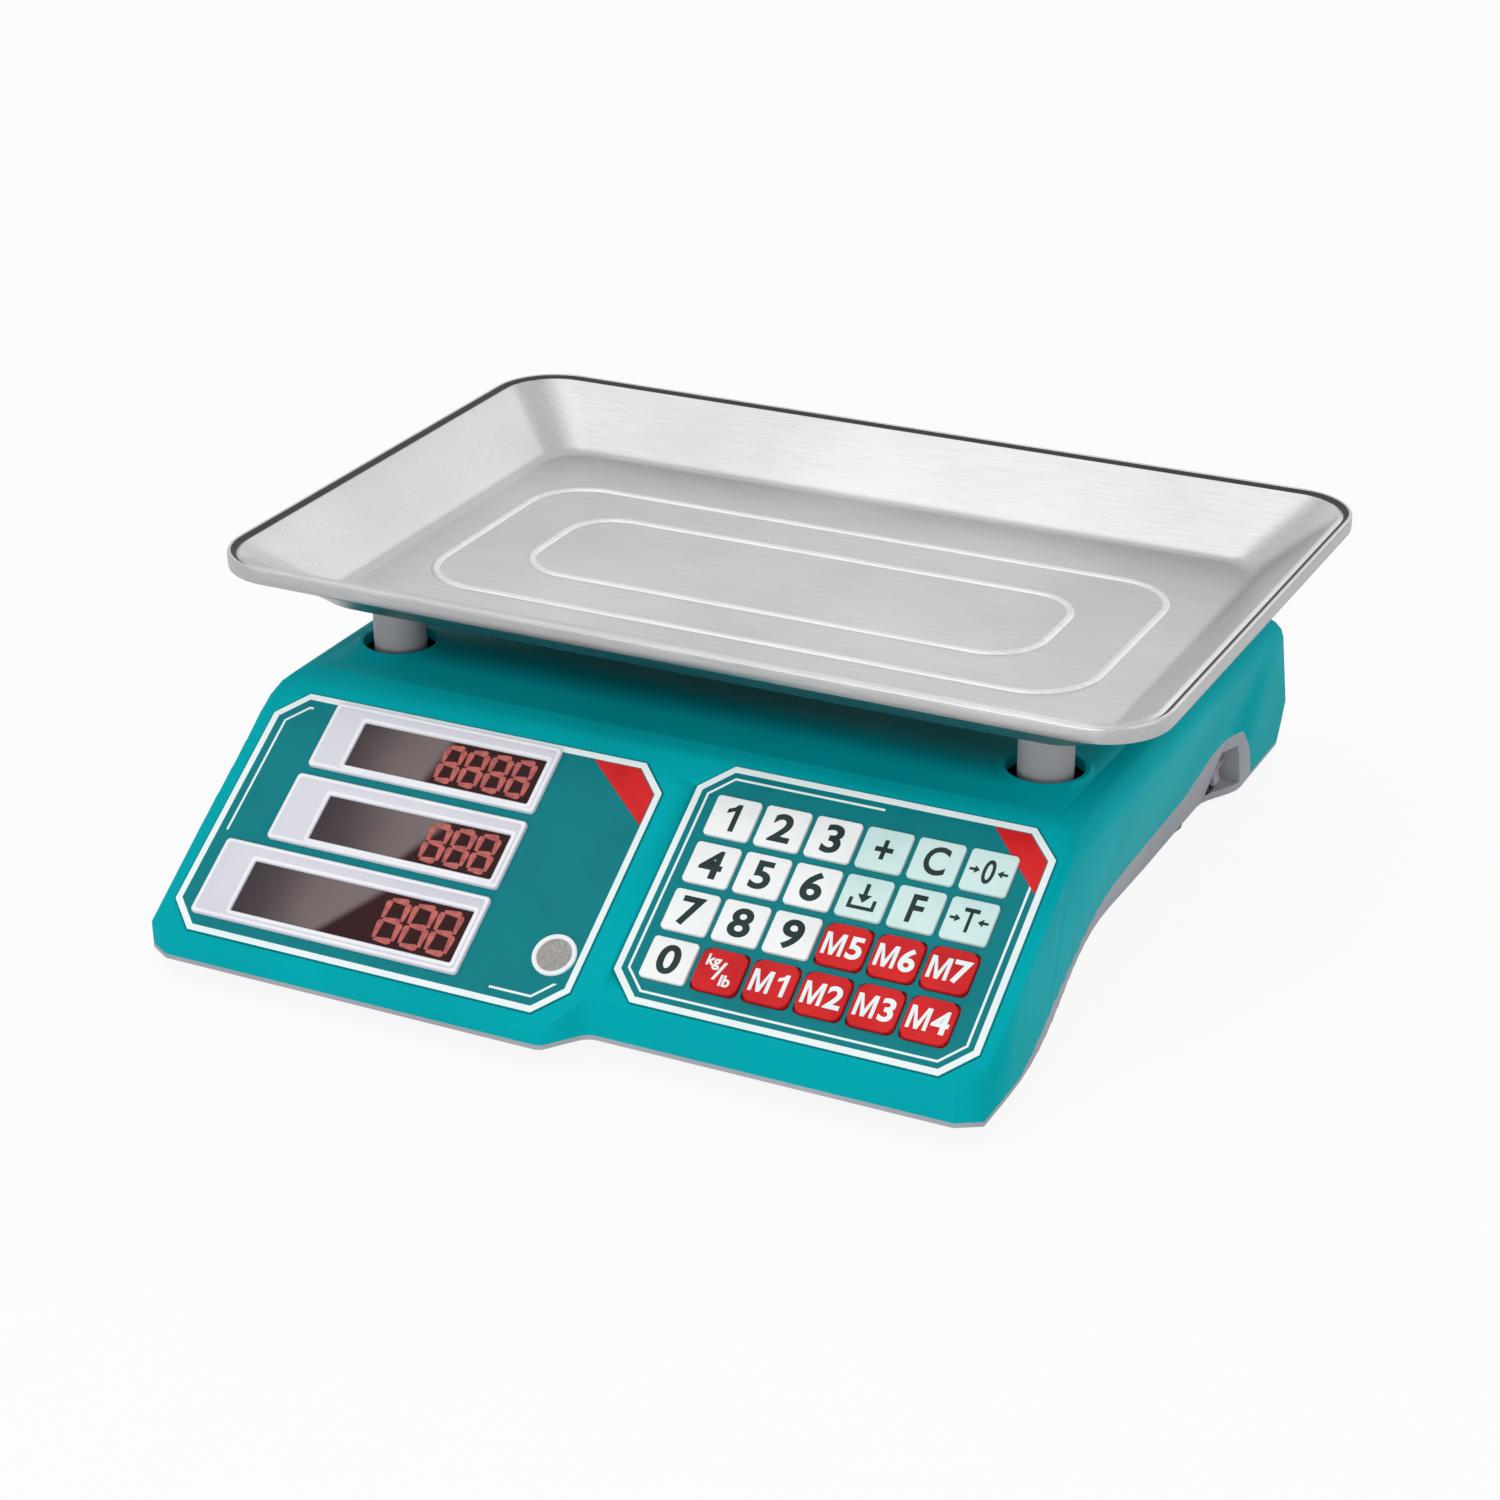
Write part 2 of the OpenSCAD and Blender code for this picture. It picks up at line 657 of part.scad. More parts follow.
module pocket_walls(side, outline) {
    scale([side, 1, 1]) intersection() {
        translate([pocket_x - wall, 0, 0]) along_x(0, 60)
            polygon([outline[0] + [-wall, base_gap - pocket_low], outline[1] + [wall, base_gap - pocket_low],
                outline[2] + [wall, wall], outline[3] + [-wall, wall]]);
        body_form(wall - 0.5);
    }
}

module foot_bosses() {
    for (p = foot_at)
        translate([p[0], p[1], base_gap]) cylinder(h = foot_boss_top - base_gap, d = foot_boss_d);
    for (p = foot_at)
        translate([p[0], p[1], base_gap]) cylinder(h = stud_top - 3 - base_gap, d = stud_d + 7);
}

// The rim's underside from the front to where it meets the floor's, raised by lift
module rim_profile(lift) {
    along_x(-body_w, body_w)
        polygon([[-far, base_gap - wall], [-far, rim_gap + lift], [tray_y - 75, rim_gap + lift],
            [tray_y + 15, base_gap + lift], [tray_y + 15, base_gap - wall]]);
}

// Overhanging rim round the front of the base
module rim_shelf() {
    intersection() {
        difference() {
            body_form(0);
            body_form(rim_reach + wall);
        }
        rim_profile(wall);
    }
}

module rim_recess() {
    difference() {
        rim_profile(0);
        body_form(rim_reach);
    }
}

module base_pan() {
    color(GREY) difference() {
        union() {
            intersection() {
                union() {
                    difference() {
                        body_form(0);
                        translate([0, 0, base_top + far / 2]) cube([far, far, far], center = true);
                    }
                    shell();
                    rim_shelf();
                }
                below_parting();
                translate([0, 0, base_gap + far / 2]) cube([far, far, far], center = true);
            }
            intersection() {
                foot_bosses();
                body_form(0);
            }
            pocket_walls(1, SWITCH_POCKET);
            pocket_walls(-1, INLET_POCKET);
            translate([-cell_end, cell_front_y, base_gap]) cube([cell_plinth_l, cell_w, cell_z - base_gap]);
            for (p = stop_at)
                translate([p[0], p[1], base_gap])
                    cylinder(h = spider_z - overload_travel - 0.2 - base_gap, d = stop_d);
            for (p = screw_at)
                translate([p[0], p[1], base_gap])
                    cylinder(h = screw_seat_z - base_gap, d = screw_boss_d + 3);
            for (x = [4, main_board_l - 4], y = [4, main_board_w - 4])
                translate([main_board_at[0] + x, main_board_at[1] + y, base_gap])
                    cylinder(h = main_board_z - base_gap, d = 6);
        }
        rim_recess();
        pocket_cut(1, SWITCH_POCKET);
        pocket_cut(-1, INLET_POCKET);
        for (p = foot_at) {
            translate([p[0], p[1], -1]) cylinder(h = foot_top + 1.5, d = foot_d + 1.6);
            translate([p[0], p[1], 0]) cylinder(h = stud_top + 5, d = stud_d + 2 * fit);
        }
        for (p = screw_at) {
            translate([p[0], p[1], -1]) cylinder(h = screw_seat_z - 3, d = screw_head_d + 0.8);
            translate([p[0], p[1], -1]) cylinder(h = screw_seat_z + 5, d = screw_d + 2 * fit);
        }
        for (x = cell_bolt_x) translate([-x, tray_y, 0]) {
            cylinder(h = base_gap + bolt_head_h + 1, d = bolt_head_d + 1);
            cylinder(h = cell_z + 5, d = bolt_d + 2 * fit);
        }
        translate([door_at[0] - door_l / 2, door_at[1] - door_w / 2, -1]) cube([door_l, door_w, base_top + 2]);
        translate([pocket_x - wall - 1, switch_mid[0] - switch_w / 2 - fit, switch_mid[1] - switch_l / 2 - fit])
            cube([wall + 2, switch_w + 2 * fit, switch_l + 2 * fit]);
        translate([-pocket_x - 1, inlet_mid[0] - inlet_l / 2 - fit, inlet_mid[1] - inlet_h / 2 - fit])
            cube([wall + 2, inlet_l + 2 * fit, inlet_h + 2 * fit]);
    }
}

module battery_door() {
    gap = 0.2;
    color(GREY) union() {
        translate([door_at[0] - door_l / 2 + gap, door_at[1] - door_w / 2 + gap, base_gap])
            cube([door_l - 2 * gap, door_w - 2 * gap, wall]);
        translate([door_at[0] - door_l / 2 - 3, door_at[1] - 8, base_top])
            cube([door_l + 6, 16, 1.4]);
    }
}

module battery() {
    gap = 1.6;
    color([0.2, 0.2, 0.22]) union() {
        translate([battery_at[0], battery_at[1], base_top + gap])
            cube([battery_l, battery_w, battery_h - gap]);
        for (x = [6, battery_l - 10], y = [3, battery_w - 7])
            translate([battery_at[0] + x, battery_at[1] + y, base_top]) cube([4, 4, gap + eps]);
    }
}

module transformer() {
    coil = 6;
    color([0.35, 0.3, 0.25]) translate([transformer_at[0], transformer_at[1], base_top]) union() {
        cube([core_l, core_w, core_h]);
        translate([core_l * 0.25, -coil, core_h * 0.22]) cube([core_l * 0.5, core_w + 2 * coil, core_h * 0.56]);
    }
}

module main_board() {
    color(GREEN) translate([main_board_at[0], main_board_at[1], main_board_z]) union() {
        cube([main_board_l, main_board_w, board_t]);
        translate([12, 14, board_t - eps]) cube([24, 24, 2.4]);
        translate([50, 10, board_t - eps]) cube([16, 10, 4]);
        translate([48, 42, board_t - eps]) cube([26, 6, 9]);
        for (i = [0:3])
            translate([16 + i * 12, 50, board_t - eps]) cylinder(h = 11, d = 7);
    }
}

module housing_screws() {
    color([0.5, 0.5, 0.52]) for (p = screw_at) translate([p[0], p[1], 0]) union() {
        translate([0, 0, screw_seat_z - 4 - 2.5]) cylinder(h = 2.5, d = screw_head_d);
        translate([0, 0, screw_seat_z - 4 - eps]) cylinder(h = 12, d = screw_d);
    }
}

// ---------- power ----------

module power_switch() {
    depth = 15;
    color([0.12, 0.12, 0.13]) difference() {
        union() {
            translate([pocket_x - depth, switch_mid[0] - switch_w / 2, switch_mid[1] - switch_l / 2])
                cube([depth + eps, switch_w, switch_l]);
            translate([pocket_x, switch_mid[0] - switch_w / 2 - flange, switch_mid[1] - switch_l / 2 - flange])
                cube([1.2, switch_w + 2 * flange, switch_l + 2 * flange]);
        }
        translate([pocket_x - 6.5, switch_mid[0] - rocker_w / 2 - slack, switch_mid[1] - rocker_l / 2 - slack])
            cube([20, rocker_w + 2 * slack, rocker_l + 2 * slack]);
    }
}

// The rocker rests with its lower end pressed in and turns twice its tilt to its other end
module power_rocker() {
    h = rocker_l / 2 - 0.9;
    face = 3.6;
    color([0.62, 0.6, 0.66]) translate([rocker_pivot_x, switch_mid[0], switch_mid[1]])
        rotate([0, rocker_tilt, 0]) translate([0, rocker_w / 2, 0]) rotate([90, 0, 0])
            linear_extrude(rocker_w)
                polygon(rounded([[-5, 0], [face, -h], [face + 1, -h + 0.4], [face - 0.4, 0], [face + 1, h - 0.4],
                    [face, h]], [1.5, 0.3, 0.3, 4, 0.3, 0.3], 3));
}

module mains_inlet() {
    lobe_d = 8;
    lobe_x = (inlet_l - lobe_d) / 2 - 1;
    color([0.1, 0.1, 0.1]) translate([-pocket_x, inlet_mid[0], inlet_mid[1]]) union() {
        difference() {
            union() {
                translate([-eps, -inlet_l / 2, -inlet_h / 2]) cube([inlet_depth + 4, inlet_l, inlet_h]);
                translate([-1.4, -inlet_l / 2 - flange, -inlet_h / 2 - flange])
                    cube([1.4, inlet_l + 2 * flange, inlet_h + 2 * flange]);
            }
            for (s = [-1, 1])
                translate([-3, s * lobe_x, 0]) rotate([0, 90, 0]) cylinder(h = inlet_depth, d = lobe_d);
            translate([-3, -lobe_x, -2.6]) cube([inlet_depth, 2 * lobe_x, 5.2]);
        }
        for (s = [-1, 1])
            translate([0, s * inlet_pin_gap / 2, 0]) rotate([0, 90, 0]) cylinder(h = inlet_depth, d = 2.4);
    }
}

// ---------- weighing platform ----------

module load_cell() {
    flex = cell_h * 0.55;
    color(STEEL) difference() {
        translate([-cell_end, cell_front_y, cell_z]) cube([cell_l, cell_w, cell_h]);
        for (x = [-flex * 0.9, flex * 0.9])
            translate([x, tray_y + cell_w, cell_z + cell_h / 2]) rotate([90, 0, 0]) cylinder(h = 2 * cell_w, d = flex);
        translate([-flex * 0.9, tray_y - cell_w, cell_z + cell_h / 2 - 2]) cube([flex * 1.8, 2 * cell_w, 4]);
        for (x = cell_bolt_x, s = [-1, 1])
            translate([s * x, tray_y, cell_z - 1]) cylinder(h = cell_h + 2, d = bolt_d + 2 * fit);
    }
}

module cell_bolts() {
    color([0.5, 0.5, 0.52]) for (x = cell_bolt_x) translate([-x, tray_y, base_gap + 1]) union() {
        cylinder(h = bolt_head_h, d = bolt_head_d);
        translate([0, 0, bolt_head_h - eps]) cylinder(h = cell_z + cell_h - 6 - base_gap - bolt_head_h, d = bolt_d);
    }
}

module platform_bolts() {
    color([0.5, 0.5, 0.52]) for (x = cell_bolt_x) translate([x, tray_y, 0]) union() {
        translate([0, 0, spider_z + spider_t]) cylinder(h = 4, d = bolt_head_d);
        translate([0, 0, cell_z + 6]) cylinder(h = spider_z + spider_t - cell_z - 6 + eps, d = bolt_d);
    }
}

module platform_spider() {
    reach = [post_span_x / 2, post_span_y / 2];
    angle = atan2(reach[1], reach[0]);
    color([0.7, 0.71, 0.72]) difference() {
        union() {
            translate([0, tray_y, spider_z]) linear_extrude(spider_t) union() {
                square([plate_l, plate_w], center = true);
                for (s = [-1, 1]) rotate(s * angle) square([2 * norm(reach), arm_w], center = true);
                for (sx = [-1, 1], sy = [-1, 1])
                    translate([sx * reach[0], sy * reach[1]]) circle(d = pad_d - 3);
            }
            translate([cell_end - cell_plinth_l, cell_front_y, cell_z + cell_h])
                cube([cell_plinth_l, cell_w, spider_z - cell_z - cell_h + 1]);
        }
        for (x = cell_bolt_x)
            translate([x, tray_y, cell_z]) cylinder(h = far, d = bolt_d + 2 * fit);
    }
}

module platform_posts() {
    color(GREY) for (p = post_at)
        translate([p[0], p[1], spider_z + spider_t]) union() {
            cylinder(h = floor_under - spider_z - spider_t, d = post_d);
            cylinder(h = 3, d = post_d + 6);
        }
}

// ---------- tray ----------

module tray_slab(l, w, r, z, t) {
    translate([0, tray_y, z]) rounded_box(l, w, r, t);
}

// The dish from floor to rim, grown outwards and lowered at its floor for the underside
module tray_dish(grow, drop) {
    hull() {
        tray_slab(tray_floor_l + 2 * grow, tray_floor_w + 2 * grow, tray_floor_corner + grow, floor_z - drop, eps);
        tray_slab(tray_l - 2 * bead + 2 * grow, tray_w - 2 * bead + 2 * grow, tray_corner - bead + grow,
            rim_z - tray_sheet / 2, eps);
    }
}

// The rim: a flat bead with a turned-down edge
module tray_rim() {
    difference() {
        union() {
            tray_slab(tray_l, tray_w, tray_corner, rim_z - rim_skirt, rim_skirt - 0.8);
            tray_slab(tray_l - 1.4, tray_w - 1.4, tray_corner - 0.7, rim_z - rim_skirt, rim_skirt);
        }
        tray_slab(tray_l - 2.4, tray_w - 2.4, tray_corner - 1.2, rim_z - rim_skirt - 1, rim_skirt + 1 - tray_sheet);
        tray_slab(tray_l - 2 * bead, tray_w - 2 * bead, tray_corner - bead, rim_z - 3, 5);
    }
}

// A ridge with rounded corners, set in by in_x and in_y from the edges of the flat floor
module ridge(in_x, in_y, r) {
    l = tray_floor_l - 2 * in_x;
    w = tray_floor_w - 2 * in_y;
    difference() {
        tray_slab(l, w, r, floor_z - eps, ridge_h);
        tray_slab(l - 2 * ridge_w, w - 2 * ridge_w, r - ridge_w, floor_z - 1, ridge_h + 2);
    }
}

module tray() {
    color(STEEL) union() {
        difference() {
            tray_dish(tray_sheet * 0.7, tray_sheet);
            tray_dish(0, 0);
        }
        tray_rim();
        ridge(16, 31.5, 24);
        ridge(43, 55.5, 20);
    }
}

// ---------- feet ----------

module foot(i) {
    color([0.08, 0.08, 0.08]) translate([foot_at[i][0], foot_at[i][1], 0]) union() {
        cylinder(h = foot_top - 1, d = foot_d);
        translate([0, 0, foot_top - 1 - eps]) cylinder(h = 1, d1 = foot_d, d2 = foot_d - 4);
        translate([0, 0, foot_top - 1]) cylinder(h = stud_top - foot_top + 1, d = stud_d);
    }
}

tray();
platform_spider();
platform_posts();
platform_bolts();
load_cell();
cell_bolts();
upper_housing();
base_pan();
housing_screws();
display_panel();
keypad_panel();
for (d = DISPLAYS) bezel(d);
for (d = DISPLAYS) window(d);
digit_modules();
display_board();
keypad_board();
key_domes();
for (k = KEYS) key_cap(k);
level_vial();
rear_panel();
rear_window();
rear_board();
main_board();
transformer();
battery();
battery_door();
power_switch();
power_rocker();
mains_inlet();
foot(0);  // foot_front_left
foot(1);  // foot_front_right
foot(2);  // foot_rear_left
foot(3);  // foot_rear_right
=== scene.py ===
# A counter-top price computing scale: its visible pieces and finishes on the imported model,
# with the camera, the floor and the lamps.
import json
import math

import bmesh
import bpy
from mathutils import Matrix, Vector


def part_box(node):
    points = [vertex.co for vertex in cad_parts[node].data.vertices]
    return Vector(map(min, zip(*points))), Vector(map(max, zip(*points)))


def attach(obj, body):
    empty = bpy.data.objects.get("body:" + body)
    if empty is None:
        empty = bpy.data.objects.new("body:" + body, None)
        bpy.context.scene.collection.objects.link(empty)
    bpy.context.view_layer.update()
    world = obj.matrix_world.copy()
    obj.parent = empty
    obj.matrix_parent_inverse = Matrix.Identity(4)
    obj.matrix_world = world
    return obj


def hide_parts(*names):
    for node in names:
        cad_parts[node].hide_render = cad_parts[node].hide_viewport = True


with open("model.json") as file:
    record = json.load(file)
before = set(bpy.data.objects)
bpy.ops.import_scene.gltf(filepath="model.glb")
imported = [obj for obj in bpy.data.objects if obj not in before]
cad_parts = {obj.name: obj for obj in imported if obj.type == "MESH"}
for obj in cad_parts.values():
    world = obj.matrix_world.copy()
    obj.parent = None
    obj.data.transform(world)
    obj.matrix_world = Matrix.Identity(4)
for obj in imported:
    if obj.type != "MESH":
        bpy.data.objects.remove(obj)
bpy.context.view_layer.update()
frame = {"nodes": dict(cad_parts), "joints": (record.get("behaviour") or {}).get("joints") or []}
nodes = frame["nodes"]
mm = 0.001
scene = bpy.context.scene
WHITE = (1.0, 1.0, 1.0, 1.0)
# How far printed ink stands above what it is printed on.
INK = 0.06 * mm


# ---------- camera ----------


# The camera's azimuth, elevation and roll in degrees, its stand in metres and its lens in millimetres.
VIEW = (26.37, 24.85, -0.32)
STAND = (0.47071, -0.96103, 0.53540)
LENS = 81.31


def place_camera():
    azimuth, elevation, roll = map(math.radians, VIEW)
    level = math.cos(elevation)
    back = Vector((math.sin(azimuth) * level, -math.cos(azimuth) * level, math.sin(elevation)))
    right = (-back).cross(Vector((0, 0, 1))).normalized()
    up = right.cross(-back)
    across = right * math.cos(roll) + up * math.sin(roll)
    over = up * math.cos(roll) - right * math.sin(roll)
    camera = bpy.data.objects.new("camera", bpy.data.cameras.new("camera"))
    camera.data.sensor_width = 36
    camera.data.lens = LENS
    camera.data.clip_start = 0.05
    turn = Matrix((across, over, back)).transposed().to_4x4()
    camera.matrix_world = Matrix.Translation(STAND) @ turn
    scene.collection.objects.link(camera)
    scene.camera = camera


place_camera()
scene.view_settings.view_transform = "Standard"


# ---------- finishes ----------


def paint(red, green, blue):
    """A display colour, 0 to 255, as the linear colour that a shader takes."""
    shares = [value / 255 for value in (red, green, blue)]
    linear = [share / 12.92 if share <= 0.04045 else ((share + 0.055) / 1.055) ** 2.4 for share in shares]
    return (*linear, 1.0)


def plain_value(value):
    return value if isinstance(value, Socket) else float(value)


class Socket:
    """A shader value whose arithmetic adds Math nodes."""

    def __init__(self, finish, link):
        self.finish, self.link = finish, link

    def math(self, operation, *values):
        sockets = {place: plain_value(value) for place, value in enumerate(values)}
        return self.finish.node("ShaderNodeMath", {"operation": operation}, sockets)

    def __add__(self, other):
        return self.math("ADD", self, other)

    def __sub__(self, other):
        return self.math("SUBTRACT", self, other)

    def __rsub__(self, other):
        return self.math("SUBTRACT", other, self)

    def __mul__(self, other):
        return self.math("MULTIPLY", self, other)

    __radd__, __rmul__ = __add__, __mul__

    def ramp(self, low, high):
        """0 below low, 1 above high, smooth between them."""
        sockets = {0: self, 1: low, 2: high, 3: 0.0, 4: 1.0}
        return self.finish.node("ShaderNodeMapRange", {"interpolation_type": "SMOOTHSTEP"}, sockets)


class Finish:
    """A procedural material, or the world's look, built node by node."""

    def __init__(self, name, world=False):
        self.result = (bpy.data.worlds if world else bpy.data.materials).new(name)
        self.result.use_nodes = True
        self.tree = self.result.node_tree
        self.tree.nodes.clear()

    def node(self, kind, settings=None, sockets=None, out=0):
        made = self.tree.nodes.new(kind)
        for key, value in (settings or {}).items():
            setattr(made, key, value)
        for key, value in (sockets or {}).items():
            if isinstance(value, Socket):
                self.tree.links.new(value.link, made.inputs[key])
            else:
                made.inputs[key].default_value = value
        return Socket(self, made.outputs[out]) if made.outputs else None

    def place(self, stretch=(1, 1, 1)):
        """Object coordinates in metres, stretched."""
        here = self.node("ShaderNodeTexCoord", out="Object")
        return self.node("ShaderNodeMapping", {}, {"Vector": here, "Scale": stretch})

    def axis(self, name):
        return self.node("ShaderNodeSeparateXYZ", {}, {0: self.place()}, out=name)

    def noise(self, scale, detail, stretch=(1, 1, 1)):
        sockets = {"Vector": self.place(stretch), "Scale": scale, "Detail": detail}
        return self.node("ShaderNodeTexNoise", {}, sockets)

    def speckle(self, scale):
        return self.node("ShaderNodeTexVoronoi", {}, {"Vector": self.place(), "Scale": scale})

    def mix(self, low, high, amount):
        return self.node("ShaderNodeMix", {"data_type": "RGBA"}, {0: amount, 6: low, 7: high}, out=2)

    def plain_ray(self):
        """1 on the rays that are to see a plain white ground: straight, mirrored or through glass."""
        rays = ("Is Camera Ray", "Is Glossy Ray", "Is Transmission Ray")
        straight, mirrored, through = (self.node("ShaderNodeLightPath", out=ray) for ray in rays)
        return through.math("MAXIMUM", through, straight.math("MAXIMUM", straight, mirrored))

    def shade(self, colour, roughness, relief=None, depth=0.0, **sockets):
        sockets = {name.replace("_", " "): value for name, value in sockets.items()}
        sockets.update({"Base Color": colour, "Roughness": roughness})
        if relief is not None:
            sockets["Normal"] = self.node("ShaderNodeBump", {}, {"Distance": depth, "Height": relief})
        shader = self.node("ShaderNodeBsdfPrincipled", {}, sockets)
        self.node("ShaderNodeOutputMaterial", {}, {"Surface": shader})
        return self.result


# Grain drawn out along X, and along Y.
ALONG, ACROSS = (0.05, 1, 1), (1, 0.05, 1)


def moulding(name, colour, shadow, roughness):
    """Moulded plastic with a fine spark-eroded texture, a broad tone and slightly polished patches."""
    finish = Finish(name)
    broad = finish.noise(14.0, 2.0)
    fine = finish.noise(2600.0, 2.0)
    tone = finish.mix(shadow, colour, (broad * 0.7 + fine * 0.3).ramp(0.28, 0.62))
    rough = (1 - broad) * 0.14 + (roughness - 0.07)
    return finish.shade(tone, rough, relief=fine, depth=0.02 * mm, Specular_IOR_Level=0.03)


def smooth_plastic(name, colour, shadow, roughness):
    """Glossy plastic or printed film: an even colour with faint clouding and a trace of unevenness."""
    finish = Finish(name)
    cloud = finish.noise(60.0, 3.0)
    grain = finish.noise(900.0, 2.0)
    return finish.shade(
        finish.mix(shadow, colour, cloud.ramp(0.25, 0.6)),
        cloud * 0.12 + (roughness - 0.06),
        relief=grain,
        depth=0.006 * mm,
        Specular_IOR_Level=0.1,
    )


def brushed_sheet():
    """Satin stainless sheet, finely brushed along its length, with cloudy wiped patches."""
    finish = Finish("tray_sheet")
    brushed = finish.noise(1500.0, 3.0, ALONG)
    wiped = finish.noise(7.0, 3.0)
    blend = (brushed * 0.3 + wiped * 0.7).ramp(0.3, 0.7)
    tone = finish.mix(paint(168, 168, 169), paint(194, 194, 195), blend)
    rough = brushed * 0.05 + wiped * 0.14 + 0.27
    return finish.shade(tone, rough, relief=brushed, depth=0.004 * mm, Metallic=1.0)


def milled_metal(name, colour, shadow, roughness, scale, stretch=(1, 1, 1)):
    """Cast, milled or plated metal with its own grain."""
    finish = Finish(name)
    grain = finish.noise(scale, 4.0, stretch)
    return finish.shade(
        finish.mix(shadow, colour, grain.ramp(0.3, 0.7)),
        grain * 0.2 + (roughness - 0.1),
        relief=grain,
        depth=0.02 * mm,
        Metallic=1.0,
    )


def rubber(name, colour, shadow):
    finish = Finish(name)
    grain = finish.noise(1400.0, 3.0)
    dust = finish.noise(40.0, 3.0)
    tone = finish.mix(shadow, colour, (grain * 0.5 + dust * 0.5).ramp(0.35, 0.65))
    return finish.shade(tone, dust * 0.2 + 0.6, relief=grain, depth=0.03 * mm)


def laminate():
    """Green circuit laminate with paler tracks under the lacquer."""
    finish = Finish("circuit_laminate")
    layout = {"Vector": finish.place(), "Scale": 160.0, "Mortar Size": 0.03}
    tracks = finish.node("ShaderNodeTexBrick", {}, layout, out="Fac")
    weave = finish.noise(700.0, 2.0)
    tone = finish.mix(paint(22, 92, 52), paint(64, 132, 80), tracks)
    tone = finish.mix(tone, paint(14, 70, 40), weave.ramp(0.45, 0.75))
    return finish.shade(tone, weave * 0.15 + 0.35, relief=tracks, depth=0.02 * mm)


def window_filter(name, node, edge, lean):
    """Dark red filter with a grey reflection painted over its left part, which ends at edge at mid-height,
    on a slant of lean.
    """
    finish = Finish(name)
    low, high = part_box(node)
    across = finish.axis("X") - edge
    rise = finish.axis("Z") - (low.z + high.z) / 2
    # Painted reflection: a grey glare over the filter left of edge, lighter towards edge, with faint
    # clouding.
    painted_glare = 1 - (across + rise * lean).ramp(-2.5 * mm, 2.5 * mm)
    cloud = finish.noise(35.0, 3.0)
    fade = finish.axis("X").ramp(edge - 42 * mm, edge + 2 * mm)
    glare_tone = finish.mix(paint(62, 52, 55), paint(122, 108, 108), (cloud * 0.3 + fade * 0.7).ramp(0.1, 0.9))
    tone = finish.mix(paint(46, 6, 9), glare_tone, painted_glare)
    return finish.shade(tone, cloud * 0.06 + 0.2, Specular_IOR_Level=0.1)


def digit_light():
    """A lit digit segment: a dim red with faint clouding."""
    finish = Finish("digit_segments")
    grain = finish.noise(420.0, 2.0)
    tone = finish.mix(paint(148, 50, 46), paint(184, 82, 74), grain.ramp(0.3, 0.7))
    return finish.shade(tone, grain * 0.1 + 0.25, Emission_Color=tone, Emission_Strength=0.12)


def level_glass():
    """The grey, finely speckled disc of the level."""
    finish = Finish("level_glass")
    speck = finish.speckle(1500.0)
    cloud = finish.noise(260.0, 3.0)
    blend = (speck * 0.6 + cloud * 0.5).ramp(0.25, 0.75)
    tone = finish.mix(paint(112, 110, 108), paint(154, 150, 145), blend)
    return finish.shade(tone, cloud * 0.1 + 0.2, relief=speck, depth=0.02 * mm, Coat_Weight=0.4)


teal = moulding("teal_moulding", paint(0, 174, 183), paint(0, 162, 171), 0.55)
base_grey = moulding("base_moulding", paint(176, 178, 184), paint(160, 162, 169), 0.5)
post_grey = moulding("post_moulding", paint(168, 166, 170), paint(150, 148, 153), 0.35)
film_teal = smooth_plastic("panel_film", paint(0, 128, 135), paint(0, 122, 129), 0.4)
ink_white = smooth_plastic("white_ink", paint(244, 253, 253), paint(234, 247, 248), 0.4)
ink_dark = smooth_plastic("dark_ink", paint(40, 58, 60), paint(30, 46, 48), 0.4)
flash_red = smooth_plastic("red_flash", paint(222, 38, 40), paint(204, 28, 32), 0.35)
lilac = moulding("bezel_moulding", paint(226, 226, 236), paint(214, 214, 226), 0.4)
lilac_rim = smooth_plastic("bezel_rim", paint(250, 251, 254), paint(240, 242, 248), 0.35)
key_white = smooth_plastic("white_key", paint(250, 252, 252), paint(242, 246, 246), 0.32)
key_pale = smooth_plastic("pale_key", paint(216, 242, 240), paint(204, 234, 232), 0.32)
key_red = smooth_plastic("red_key", paint(216, 38, 40), paint(198, 28, 32), 0.32)
steel = brushed_sheet()
# The floor ridges' steel is lighter than the tray's own: a painted highlight along the ridges.
ridge_highlight_steel = milled_metal("tray_ridge_highlight", paint(214, 214, 214), paint(202, 202, 202), 0.5, 900.0, ALONG)
# Painted shade and dark reflection: a dark strip laid in the groove of the tray's rim.
painted_groove_shade_dark = rubber("rim_painted_groove_shade", paint(46, 42, 42), paint(34, 31, 31))
cast = milled_metal("cast_aluminium", paint(178, 180, 184), paint(150, 152, 156), 0.5, 260.0)
cell_metal = milled_metal("milled_aluminium", paint(206, 208, 212), paint(186, 188, 192), 0.32, 900.0, ALONG)
zinc = milled_metal("zinc_plate", paint(190, 192, 196), paint(160, 160, 158), 0.35, 700.0)
iron = milled_metal("laminated_iron", paint(104, 92, 82), paint(72, 62, 56), 0.55, 1500.0, ACROSS)
foot_rubber = rubber("foot_rubber", paint(52, 52, 54), paint(36, 36, 38))
dome_rubber = rubber("dome_rubber", paint(226, 226, 218), paint(206, 206, 198))
black = moulding("black_moulding", paint(46, 46, 50), paint(34, 34, 38), 0.42)
rocker_grey = smooth_plastic("rocker_moulding", paint(178, 172, 182), paint(160, 154, 166), 0.36)
battery_case = moulding("battery_case", paint(56, 56, 62), paint(42, 42, 48), 0.5)
circuit = laminate()
segments = digit_light()
glass_disc = level_glass()
filters = {
    "weight": window_filter("weight_filter", "window_weight", -74 * mm, -0.4),
    "price": window_filter("price_filter", "window_price", -66 * mm, -1.2),
    "amount": window_filter("amount_filter", "window_amount", -80 * mm, -1.6),
    "rear": window_filter("rear_filter", "rear_window", -200 * mm, 0.0),
}


# ---------- making pieces ----------


